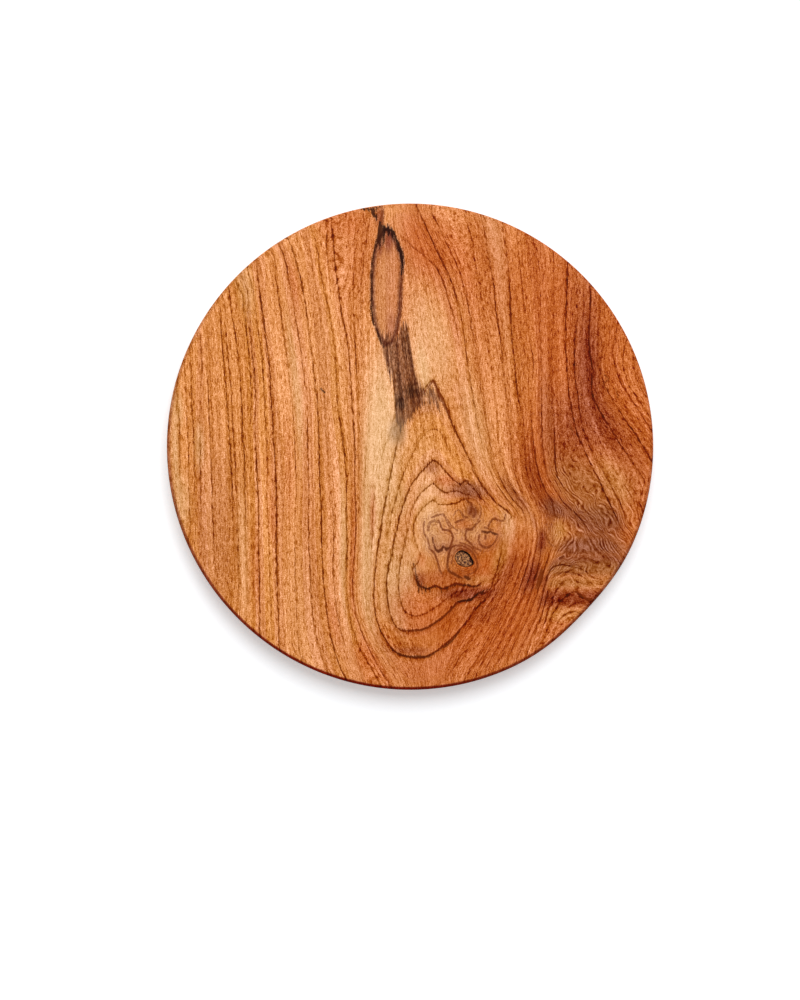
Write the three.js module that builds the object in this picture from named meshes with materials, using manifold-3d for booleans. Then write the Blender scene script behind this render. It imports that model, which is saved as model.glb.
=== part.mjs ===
// A round teak plate, turned from one solid slab, with a loose knot that is set in dark filler.
// Millimetres, +Z up. The origin is the centre of the foot's resting face, so the plate stands on z = 0.
// Seen from above with +Y away from the viewer, the fibres run along Y and the knot lies front right.

import * as THREE from "three";
import { mergeVertices } from "three/addons/utils/BufferGeometryUtils.js";
import Module from "manifold-3d";

// Driving dimensions
const PLATE_RADIUS = 140;
const PLATE_THICKNESS = 18;
const TOP_EDGE_ROUND = 1.6; // radius sanded on the rim's upper corner
const RIM_BAND = 8; // height of the upright edge, roundings included
const LOWER_EDGE_ROUND = 2.4;
const FOOT_RADIUS = 108;
const FOOT_EDGE_ROUND = 0.8;
const FOOT_RING_WIDTH = 14;
const RECESS_DEPTH = 1.5; // the hollow inside the foot ring
const RECESS_COVE = 3; // width of the hollow's sloping wall

// The rim was sanded a little flat at the front right, where the burr figure meets the edge.
const FLAT_SPOT_DEPTH = 1.7;
const FLAT_SPOT_ANGLE = THREE.MathUtils.degToRad(-43);
const FLAT_SPOT_SPREAD = THREE.MathUtils.degToRad(12);

// The knot: a dead branch stub that runs obliquely through the slab and narrows downwards.
const KNOT_X = 31.2;
const KNOT_Y = -64.6;
const KNOT_LEAN = new THREE.Vector2(-2.2, 3.0); // drift of its centre from the top face to the underside
const KNOT_LOWER_SCALE = 0.72;
const KNOT_OUTLINE = [
  [-0.5, 4.8],
  [2.5, 3.2],
  [4.3, 0.6],
  [5.6, -2.0],
  [5.0, -3.8],
  [1.0, -4.9],
  [-3.4, -3.4],
  [-4.9, -0.9],
  [-5.4, 1.4],
  [-4.1, 3.7],
  [-2.3, 4.8],
];
const KNOT_MEAN_RADIUS = 5;
const CORE_SCALE = 0.66; // the stub has shrunk away from its hole
const CORE_SHIFT = new THREE.Vector2(-0.6, -0.55); // and sits to one side of it
const CORE_RECESS = 1.0; // how far its broken end lies below the top face
const CORE_CROWN = 0.5; // and how far that end swells in the middle
const FILLER_RECESS = 1.4;
const UNDERSIDE_RECESS = 0.4; // both end this far above the hollow's floor
const SEAT_GAP = 0.3;

const RIM_STEPS = 144; // facets round the plate
const ROUND_STEPS = 4; // facets over each rounded corner
const KNOT_STEPS = 44;

const TEAK = new THREE.MeshStandardMaterial({ color: "#c67c45", roughness: 0.5, metalness: 0 });
const DEAD_WOOD = new THREE.MeshStandardMaterial({ color: "#8a7350", roughness: 0.85, metalness: 0 });
const FILLER = new THREE.MeshStandardMaterial({ color: "#241a16", roughness: 0.35, metalness: 0 });

const wasm = await Module();
wasm.setup();

function toSolid(geometry) {
  const bare = geometry.clone();
  bare.deleteAttribute("normal");
  bare.deleteAttribute("uv");
  const merged = mergeVertices(bare, 1e-4);
  return new wasm.Manifold(
    new wasm.Mesh({
      numProp: 3,
      vertProperties: merged.attributes.position.array,
      triVerts: new Uint32Array(merged.index.array),
    }),
  );
}

function toGeometry(solid) {
  const mesh = solid.getMesh();
  const geometry = new THREE.BufferGeometry();
  geometry.setAttribute("position", new THREE.BufferAttribute(new Float32Array(mesh.vertProperties), 3));
  geometry.setIndex(new THREE.BufferAttribute(new Uint32Array(mesh.triVerts), 1));
  const faceted = geometry.toNonIndexed();
  faceted.computeVertexNormals();
  return faceted;
}

// Points on a quarter round, from one angle to the other, both ends included.
function cornerArc(centreX, centreZ, radius, fromDegrees, toDegrees) {
  const points = [];
  for (let i = 0; i <= ROUND_STEPS; i++) {
    const angle = THREE.MathUtils.degToRad(fromDegrees + ((toDegrees - fromDegrees) * i) / ROUND_STEPS);
    points.push(new THREE.Vector2(centreX + radius * Math.cos(angle), centreZ + radius * Math.sin(angle)));
  }
  return points;
}

// Half of the plate's section, from the axis at the underside round to the axis at the top.
function plateProfile() {
  const ringInner = FOOT_RADIUS - FOOT_RING_WIDTH;
  const bandBottom = PLATE_THICKNESS - RIM_BAND;
  const lowerCentre = new THREE.Vector2(PLATE_RADIUS - LOWER_EDGE_ROUND, bandBottom + LOWER_EDGE_ROUND);
  const footCentre = new THREE.Vector2(FOOT_RADIUS - FOOT_EDGE_ROUND, FOOT_EDGE_ROUND);
  const bevelRise = lowerCentre.y - LOWER_EDGE_ROUND - footCentre.y;
  const bevelRun = lowerCentre.x - footCentre.x;
  const bevelDegrees = THREE.MathUtils.radToDeg(Math.atan2(bevelRise, bevelRun));
  return [
    new THREE.Vector2(0, RECESS_DEPTH),
    new THREE.Vector2(ringInner - RECESS_COVE, RECESS_DEPTH),
    new THREE.Vector2(ringInner - RECESS_COVE / 3, RECESS_DEPTH / 2),
    new THREE.Vector2(ringInner, 0),
    ...cornerArc(footCentre.x, footCentre.y, FOOT_EDGE_ROUND, -90, bevelDegrees - 90),
    ...cornerArc(lowerCentre.x, lowerCentre.y, LOWER_EDGE_ROUND, bevelDegrees - 90, 0),
    ...cornerArc(PLATE_RADIUS - TOP_EDGE_ROUND, PLATE_THICKNESS - TOP_EDGE_ROUND, TOP_EDGE_ROUND, 0, 90),
    new THREE.Vector2(0, PLATE_THICKNESS),
  ];
}

// Draws the rim in where it was sanded flat. The foot stays round.
function flattenRim(geometry) {
  const position = geometry.attributes.position;
  const point = new THREE.Vector3();
  for (let i = 0; i < position.count; i++) {
    point.fromBufferAttribute(position, i);
    const radius = Math.hypot(point.x, point.y);
    const share = THREE.MathUtils.smoothstep(radius, FOOT_RADIUS, PLATE_RADIUS - LOWER_EDGE_ROUND);
    if (share === 0) continue;
    const away = (Math.atan2(point.y, point.x) - FLAT_SPOT_ANGLE) / FLAT_SPOT_SPREAD;
    const drawnIn = share * FLAT_SPOT_DEPTH * Math.exp(-away * away);
    position.setXY(i, point.x * (1 - drawnIn / radius), point.y * (1 - drawnIn / radius));
  }
  return geometry;
}

function turnedPlate() {
  const geometry = new THREE.LatheGeometry(plateProfile(), RIM_STEPS);
  geometry.rotateX(Math.PI / 2);
  return flattenRim(geometry);
}

// A closed body that follows the knot's outline and lean between two heights, larger or smaller by scale.
function knotBody(scale, shift, lowZ, highZ, crown) {
  const outline = new THREE.CatmullRomCurve3(
    KNOT_OUTLINE.map(([x, y]) => new THREE.Vector3(x, y, 0)),
    true,
  ).getPoints(KNOT_STEPS);
  outline.pop();
  outline.reverse();
  const count = outline.length;
  const vertices = [];
  const indices = [];
  const centreAt = (z) => {
    const down = 1 - z / PLATE_THICKNESS;
    return new THREE.Vector2(KNOT_X, KNOT_Y).addScaledVector(KNOT_LEAN, down).add(shift);
  };
  for (const z of [lowZ, highZ]) {
    const down = 1 - z / PLATE_THICKNESS;
    const size = scale * THREE.MathUtils.lerp(1, KNOT_LOWER_SCALE, down);
    const centre = centreAt(z);
    for (const p of outline) vertices.push(centre.x + p.x * size, centre.y + p.y * size, z);
  }
  const lowCentre = 2 * count;
  const highCentre = lowCentre + 1;
  vertices.push(centreAt(lowZ).x, centreAt(lowZ).y, lowZ);
  vertices.push(centreAt(highZ).x, centreAt(highZ).y, highZ + crown);
  for (let i = 0; i < count; i++) {
    const next = (i + 1) % count;
    indices.push(i, next, count + next, i, count + next, count + i);
    indices.push(lowCentre, next, i, highCentre, count + i, count + next);
  }
  const geometry = new THREE.BufferGeometry();
  geometry.setAttribute("position", new THREE.Float32BufferAttribute(vertices, 3));
  geometry.setIndex(indices);
  return geometry;
}

function inset(scale, gap) {
  return scale * (1 - gap / (scale * KNOT_MEAN_RADIUS));
}

const NO_SHIFT = new THREE.Vector2(0, 0);
const BELOW = -1;
const ABOVE = PLATE_THICKNESS + 1;
const CORE_TOP = PLATE_THICKNESS - CORE_RECESS - CORE_CROWN;
const FILLER_TOP = PLATE_THICKNESS - FILLER_RECESS;
const KNOT_BOTTOM = RECESS_DEPTH + UNDERSIDE_RECESS;

function teakBoard() {
  const hole = toSolid(knotBody(1, NO_SHIFT, BELOW, ABOVE, 0));
  return toGeometry(toSolid(turnedPlate()).subtract(hole));
}

function knotCore() {
  return toGeometry(toSolid(knotBody(CORE_SCALE, CORE_SHIFT, KNOT_BOTTOM, CORE_TOP, CORE_CROWN)));
}

function knotFiller() {
  const outer = toSolid(knotBody(inset(1, SEAT_GAP), NO_SHIFT, KNOT_BOTTOM, FILLER_TOP, 0));
  const seat = toSolid(knotBody(inset(CORE_SCALE, -SEAT_GAP), CORE_SHIFT, BELOW, ABOVE, 0));
  return toGeometry(outer.subtract(seat));
}

function named(name, geometry, material) {
  const mesh = new THREE.Mesh(geometry, material);
  mesh.name = name;
  return mesh;
}

const plate = new THREE.Group();
plate.add(named("teak_board", teakBoard(), TEAK));
plate.add(named("knot_core", knotCore(), DEAD_WOOD));
plate.add(named("knot_filler", knotFiller(), FILLER));

export default plate;
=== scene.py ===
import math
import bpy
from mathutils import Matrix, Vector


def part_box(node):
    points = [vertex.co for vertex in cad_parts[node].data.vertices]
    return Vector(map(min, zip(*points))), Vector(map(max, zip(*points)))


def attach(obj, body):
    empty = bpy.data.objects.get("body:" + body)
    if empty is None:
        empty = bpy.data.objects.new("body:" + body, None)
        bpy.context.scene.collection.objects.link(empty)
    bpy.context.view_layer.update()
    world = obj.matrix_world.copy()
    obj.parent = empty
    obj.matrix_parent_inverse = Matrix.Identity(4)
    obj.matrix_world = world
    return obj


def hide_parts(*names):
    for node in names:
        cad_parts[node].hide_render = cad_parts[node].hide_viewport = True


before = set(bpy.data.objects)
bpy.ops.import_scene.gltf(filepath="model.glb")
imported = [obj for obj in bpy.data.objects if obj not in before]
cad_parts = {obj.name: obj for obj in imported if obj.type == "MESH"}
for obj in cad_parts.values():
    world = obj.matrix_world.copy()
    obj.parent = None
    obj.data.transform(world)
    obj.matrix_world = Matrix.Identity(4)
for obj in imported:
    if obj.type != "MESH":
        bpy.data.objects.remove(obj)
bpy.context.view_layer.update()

# A flat teak plate on a pale table, lit from behind and seen from straight above.
# Teak's growth rings, knots and stains are its whole look, so they are laid out first: each ring is
# traced down the top face, and a smooth field through the traces carries the rings on into the rim
# and the underside. Places on the top face are written in pixels of the photograph.

from concurrent.futures import ThreadPoolExecutor
from types import SimpleNamespace

import bpy
import numpy as np
from mathutils import Vector, noise
from mathutils.geometry import delaunay_2d_cdt

PHOTO_SIZE = (800, 1000)
PLATE_CENTRE_PX = (409.55, 446.18)
PLATE_RADIUS_PX = 243.2
KNOTS_PX = (462, 545)  # the middle of the knots

# Growth rings, counted outwards from the knots. Each point is x, y and how dark the ring is there,
# from 0 to 9. A ring of darkness 0 isn't seen, but the wood still grows round it.
RINGS = (
    # The ring whose torn lower edge runs under the knots.
    (1, ((433, 500, 5), (427, 503, 5), (420, 510, 5), (415, 520, 5), (413, 531, 5), (417, 546, 4),
         (420, 557, 4), (413, 568, 7), (416, 581, 8), (422, 586, 9), (428, 588, 9), (436, 585, 9),
         (442, 588, 9), (449, 585, 9), (457, 583, 9), (466, 585, 9), (477, 585, 8), (486, 577, 0),
         (492, 562, 0), (495, 545, 0), (495, 530, 0), (490, 515, 0), (480, 504, 0), (470, 498, 4),
         (463, 499, 6), (456, 503, 6), (446, 504, 6), (439, 504, 6))),
    (2, ((433, 483, 6), (425, 488, 6), (417, 497, 5), (411, 510, 4), (408, 525, 3), (403, 548, 5),
         (399, 572, 6), (399, 594, 6), (405, 611, 6), (417, 615, 5), (430, 610, 4), (443, 600, 4),
         (457, 591, 3), (472, 589, 2), (483, 585, 0), (491, 573, 0), (497, 555, 0), (499, 535, 0),
         (496, 518, 0), (487, 506, 0), (477, 500, 1), (467, 495, 4), (457, 491, 6), (445, 492, 7),
         (438, 488, 7))),
    (3, ((433, 460, 8), (425, 467, 8), (417, 476, 8), (409, 488, 7), (402, 508, 7), (397, 526, 6),
         (391, 555, 6), (386, 580, 7), (388, 607, 6), (394, 624, 7), (403, 630, 6), (414, 629, 7),
         (424, 628, 8), (436, 621, 9), (448, 611, 8), (458, 601, 9), (469, 600, 9), (478, 592, 9),
         (488, 590, 6), (494, 577, 5), (498, 560, 6), (501, 545, 3), (500, 528, 0), (497, 516, 0),
         (491, 508, 1), (482, 499, 5), (474, 489, 6), (467, 481, 6), (460, 484, 7), (450, 477, 7),
         (441, 466, 8))),
    (4, ((433, 429, 4), (424, 434, 3), (412, 454, 3), (403, 474, 5), (397, 493, 5), (391, 515, 4),
         (387, 538, 1), (381, 570, 0), (381, 600, 0), (386, 625, 0), (396, 638, 0), (412, 643, 2),
         (430, 639, 0), (446, 627, 0), (462, 611, 0), (478, 599, 2), (488, 593, 1), (497, 578, 2),
         (501, 560, 1), (503, 542, 0), (502, 524, 0), (498, 512, 0), (488, 502, 1), (474, 488, 0),
         (459, 469, 0), (447, 447, 3), (439, 431, 4))),
    # The sharp peak under the stain, its long right flank and the bold bow at the front.
    (5, ((432, 380, 7), (438, 391, 8), (444, 402, 8), (449, 417, 8), (455, 432, 9), (462, 445, 8),
         (469, 460, 6), (476, 476, 6), (486, 490, 6), (495, 502, 8), (506, 510, 8), (511, 516, 6),
         (508, 526, 1), (505, 545, 1), (502, 562, 2), (497, 580, 4), (485, 597, 7), (475, 608, 7),
         (464, 623, 7), (452, 637, 8), (440, 647, 9), (427, 655, 9), (412, 657, 9), (397, 652, 9),
         (387, 642, 8), (379, 627, 7), (374, 605, 6), (374, 577, 6), (378, 545, 7), (382, 518, 7),
         (388, 486, 7), (393, 460, 7), (398, 438, 4), (404, 420, 0), (412, 404, 0), (420, 393, 2),
         (427, 385, 6))),
    (6, ((403, 239, 3), (412, 247, 5), (424, 256, 4), (436, 268, 6), (443, 283, 5), (448, 300, 6),
         (454, 318, 5), (459, 342, 3), (464, 372, 1), (467, 405, 0), (474, 440, 0), (480, 462, 0),
         (489, 481, 1), (502, 498, 3), (514, 513, 3), (512, 524, 0), (510, 545, 0), (507, 564, 0),
         (501, 583, 2), (489, 603, 2), (474, 624, 1), (458, 645, 0), (440, 661, 0), (418, 668, 0),
         (397, 662, 0), (382, 645, 0), (373, 624, 0), (369, 595, 1), (370, 560, 2), (372, 530, 5),
         (373, 505, 5), (377, 478, 2), (384, 449, 3), (391, 428, 3), (395, 405, 5), (394, 382, 5),
         (396, 355, 0), (400, 315, 0), (401, 280, 0), (400, 252, 0))),
    # Places between two rings, which keep the figure from folding back where they are far apart.
    (5.5, ((424, 300, 0), (427, 330, 0), (431, 358, 0))),
    (5.5, ((446, 355, 0), (450, 380, 0), (455, 402, 0))),
    (6.5, ((386, 232, 0), (385, 260, 0), (385, 300, 0), (384, 330, 0))),
    (9.5, ((341, 214, 0), (343, 240, 0), (346, 280, 0))),
    (12.4, ((353, 645, 0), (363, 668, 0), (370, 686, 0))),
    (23.6, ((216, 330, 0), (218, 400, 0), (220, 450, 0), (221, 500, 0), (223, 560, 0), (226, 600, 0))),
    # From here outwards the rings run from the back of the rim to the front, left and right.
    (7, ((416, 205, 6), (423, 220, 7), (430, 236, 9), (440, 258, 9), (450, 280, 7), (459, 309, 5),
         (464, 338, 5), (468, 370, 6), (473, 400, 6), (479, 434, 5), (486, 462, 3), (498, 487, 6),
         (510, 503, 7), (517, 512, 5), (519, 526, 1), (517, 545, 1), (513, 562, 3), (505, 583, 3),
         (492, 607, 2), (476, 632, 3), (460, 657, 3), (445, 679, 3))),
    (7, ((384, 205, 0), (372, 240, 0), (369, 280, 0), (370, 325, 0), (371, 370, 1), (369, 415, 2),
         (365, 455, 3), (364, 495, 3), (366, 545, 2), (366, 600, 2), (371, 630, 2), (381, 649, 1),
         (394, 668, 0), (407, 687, 0))),
    (8, ((431, 212, 5), (438, 226, 6), (444, 239, 5), (455, 261, 5), (463, 286, 6), (468, 307, 7),
         (472, 335, 5), (477, 365, 3), (482, 400, 3), (488, 433, 4), (494, 463, 3), (502, 483, 7),
         (513, 500, 7), (522, 511, 5), (526, 526, 2), (526, 545, 3), (522, 563, 6), (513, 588, 6),
         (499, 617, 4), (484, 644, 4), (471, 667, 5), (463, 681, 5))),
    (8, ((368, 222, 3), (365, 248, 5), (361, 280, 5), (360, 315, 4), (361, 345, 4), (362, 390, 2),
         (361, 440, 3), (361, 490, 3), (360, 545, 2), (360, 590, 2), (364, 620, 2), (374, 645, 2),
         (387, 667, 1), (400, 686, 1))),
    (9, ((463, 210, 4), (470, 234, 5), (474, 258, 3), (479, 288, 2), (485, 322, 3), (490, 360, 2),
         (495, 405, 3), (498, 440, 4), (504, 468, 4), (514, 491, 6), (526, 507, 3), (531, 522, 2),
         (531, 542, 2), (526, 566, 7), (517, 592, 5), (503, 622, 4), (488, 650, 4), (474, 675, 3))),
    (9, ((355, 222, 4), (354, 262, 3), (353, 295, 4), (354, 330, 5), (355, 352, 8), (356, 370, 7),
         (358, 400, 3), (358, 460, 3), (359, 515, 3), (357, 560, 2), (356, 598, 2), (361, 622, 2),
         (372, 648, 2), (385, 671, 2), (394, 686, 2))),
    (10, ((480, 215, 4), (485, 237, 5), (489, 262, 6), (493, 285, 7), (495, 308, 7), (500, 340, 6),
          (503, 374, 5), (508, 415, 4), (511, 455, 3), (516, 480, 5), (525, 501, 4), (533, 515, 2),
          (536, 535, 2), (533, 558, 5), (528, 580, 7), (516, 608, 4), (501, 639, 4), (485, 668, 4))),
    (10, ((328, 217, 8), (332, 232, 9), (334, 258, 8), (337, 285, 8), (341, 313, 8), (347, 343, 7),
          (350, 375, 7), (352, 410, 7), (354, 441, 9), (355, 458, 8), (354, 480, 6), (356, 515, 8),
          (355, 542, 7), (352, 580, 6), (354, 606, 6), (361, 631, 7), (371, 653, 6), (390, 686, 8))),
    (11, ((501, 222, 5), (505, 246, 5), (508, 280, 6), (510, 312, 9), (511, 334, 7), (514, 362, 5),
          (516, 388, 9), (521, 412, 3), (524, 440, 4), (526, 470, 5), (531, 490, 4), (539, 510, 3),
          (541, 530, 3), (540, 553, 5), (535, 577, 8), (526, 605, 4), (510, 638, 4), (494, 667, 3))),
    (11, ((328, 221, 5), (326, 245, 7), (328, 268, 4), (331, 305, 3), (339, 350, 2), (345, 410, 2),
          (350, 460, 3), (351, 510, 4), (350, 560, 2), (350, 600, 3), (357, 633, 2), (371, 662, 3),
          (385, 684, 3))),
    (12, ((516, 228, 4), (518, 252, 4), (521, 280, 5), (524, 305, 5), (529, 340, 3), (533, 362, 6),
          (531, 395, 2), (531, 424, 6), (535, 458, 7), (541, 482, 8), (552, 503, 7), (554, 520, 2),
          (551, 545, 4), (544, 568, 9), (538, 588, 8), (530, 611, 4), (518, 636, 4), (509, 655, 4))),
    (12, ((310, 228, 3), (316, 245, 5), (321, 277, 5), (327, 303, 6), (333, 338, 4), (335, 362, 6),
          (337, 400, 6), (341, 430, 9), (345, 465, 7), (346, 492, 7), (346, 522, 6), (347, 545, 8),
          (346, 585, 5), (350, 617, 5), (358, 645, 6), (370, 665, 7), (380, 684, 6))),
    (13, ((536, 240, 2), (540, 280, 3), (540, 330, 4), (541, 380, 4), (541, 415, 6), (542, 450, 6),
          (547, 476, 5), (556, 492, 5), (565, 504, 6), (578, 516, 6), (592, 535, 3), (606, 552, 2),
          (617, 563, 1))),
    (13, ((519, 651, 4), (530, 628, 4), (539, 606, 7), (543, 589, 8), (549, 571, 8), (557, 565, 8),
          (567, 565, 7), (583, 570, 6), (595, 580, 3), (604, 588, 1))),
    (13, ((307, 232, 1), (315, 285, 2), (320, 325, 3), (323, 370, 2), (324, 405, 5), (326, 440, 4),
          (329, 480, 2), (333, 515, 5), (333, 560, 6), (334, 592, 5), (339, 625, 6), (346, 650, 3),
          (358, 680, 2))),
    (14, ((552, 252, 2), (553, 300, 4), (552, 350, 3), (553, 400, 3), (554, 440, 7), (556, 472, 9),
          (563, 487, 5), (575, 499, 5), (590, 516, 4), (606, 538, 3), (622, 558, 2))),
    (14, ((531, 640, 4), (541, 616, 6), (547, 595, 6), (554, 576, 6), (563, 571, 6), (578, 574, 6),
          (592, 584, 3), (601, 593, 2))),
    (14, ((286, 236, 9), (293, 252, 8), (300, 279, 9), (305, 306, 8), (309, 336, 6), (313, 366, 7),
          (317, 404, 7), (318, 435, 8), (319, 470, 9), (321, 510, 8), (322, 555, 8), (325, 600, 8),
          (330, 634, 8), (337, 660, 8), (346, 680, 8))),
    (15, ((567, 262, 8), (566, 298, 9), (565, 330, 9), (567, 372, 8), (570, 405, 8), (576, 431, 8),
          (586, 454, 7), (595, 472, 5), (604, 492, 8), (613, 511, 8), (622, 530, 4), (629, 544, 2))),
    (15, ((536, 645, 4), (545, 619, 5), (552, 598, 6), (562, 582, 5), (574, 580, 3), (588, 588, 2),
          (597, 597, 1))),
    (15, ((293, 304, 4), (297, 328, 7), (301, 354, 6), (303, 372, 6), (307, 403, 3), (307, 437, 8),
          (308, 480, 5), (308, 510, 6), (309, 555, 7), (311, 600, 6), (315, 634, 5), (325, 668, 3))),
    (16, ((576, 272, 3), (577, 305, 3), (574, 345, 7), (574, 370, 8), (577, 396, 7), (582, 426, 6),
          (592, 452, 5), (605, 475, 4), (616, 496, 6), (626, 518, 4), (633, 532, 3))),
    (16, ((543, 640, 3), (552, 614, 6), (561, 600, 7), (573, 591, 8), (580, 596, 7), (588, 601, 5))),
    (16, ((274, 256, 5), (276, 281, 5), (280, 308, 8), (284, 340, 6), (287, 360, 6), (291, 398, 4),
          (294, 437, 5), (295, 463, 6), (296, 490, 5), (294, 530, 3), (295, 553, 6), (295, 595, 4),
          (298, 640, 4), (301, 660, 3))),
    (17, ((589, 284, 6), (590, 297, 8), (588, 330, 8), (589, 353, 8), (592, 370, 8), (591, 391, 8),
          (598, 409, 8), (608, 425, 8), (618, 441, 7), (630, 459, 6), (644, 480, 5))),
    (17, ((256, 262, 5), (259, 290, 8), (262, 312, 8), (265, 337, 8), (269, 368, 9), (271, 400, 8),
          (273, 435, 8), (275, 470, 9), (276, 520, 9), (276, 560, 8), (277, 600, 7), (279, 649, 7))),
    (18, ((604, 300, 4), (603, 340, 3), (600, 370, 5), (608, 393, 7), (620, 412, 6), (632, 430, 8),
          (643, 447, 9), (651, 461, 7))),
    (18, ((254, 300, 5), (258, 331, 6), (262, 363, 8), (264, 396, 6), (265, 418, 6), (267, 459, 5),
          (267, 500, 4), (269, 559, 5), (270, 602, 4), (272, 645, 3))),
    (19, ((612, 350, 5), (616, 371, 6), (625, 391, 5), (637, 409, 6), (651, 430, 5))),
    (19, ((247, 290, 4), (248, 320, 5), (252, 357, 7), (255, 394, 7), (254, 420, 4), (256, 463, 9),
          (258, 505, 7), (258, 541, 7), (259, 600, 8), (259, 635, 6))),
    (20, ((622, 365, 5), (629, 386, 5), (641, 404, 5), (649, 417, 4))),
    (20, ((242, 295, 6), (245, 320, 7), (249, 355, 7), (251, 395, 6), (251, 440, 2), (252, 500, 1),
          (252, 560, 1), (253, 620, 1))),
    (21, ((228, 287, 5), (230, 307, 5), (235, 337, 7), (239, 370, 5), (241, 403, 9), (242, 430, 7),
          (244, 458, 8), (245, 495, 5), (246, 550, 3), (248, 608, 3))),
    (22, ((225, 325, 3), (227, 350, 6), (231, 390, 4), (232, 415, 6), (234, 455, 6), (236, 505, 4),
          (238, 575, 5), (239, 600, 4))),
    (23, ((220, 305, 3), (222, 342, 7), (225, 377, 6), (227, 402, 8), (230, 446, 8), (232, 490, 6),
          (233, 530, 3), (235, 585, 3))),
    (24, ((204, 330, 3), (207, 375, 4), (208, 402, 7), (210, 445, 5), (212, 495, 6), (214, 565, 4))),
    (25, ((200, 335, 3), (202, 362, 6), (200, 400, 3), (200, 440, 4), (200, 465, 6), (201, 510, 4),
          (203, 560, 3))),
    (26, ((189, 350, 4), (191, 382, 5), (191, 402, 6), (193, 436, 6), (194, 480, 5), (195, 530, 4))),
    (27, ((184, 362, 4), (186, 400, 5), (188, 445, 5), (188, 478, 6), (190, 530, 3))),
    (28, ((176, 390, 2), (179, 428, 5), (180, 470, 3), (184, 512, 3))),
)

# Fibres that don't follow a ring, through the peaks above the knots and out at the front: the x that
# each would have if it ran straight, and its points.
CENTRE_FIBRES = (
    (399, ((387, 206), (386, 290), (391, 345), (399, 400), (402, 460), (405, 520), (406, 590), (414, 640),
           (424, 689))),
    (424, ((408, 240), (414, 310), (422, 370), (431, 430), (434, 490), (430, 550), (427, 610), (431, 655),
           (436, 689))),
    (448, ((430, 270), (440, 330), (447, 385), (455, 440), (466, 480))),
    (386, ((388, 490), (380, 540), (376, 590), (384, 635), (412, 688))),
    (465, ((503, 520), (502, 550), (493, 582), (474, 618), (456, 645), (440, 686))),
)

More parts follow.
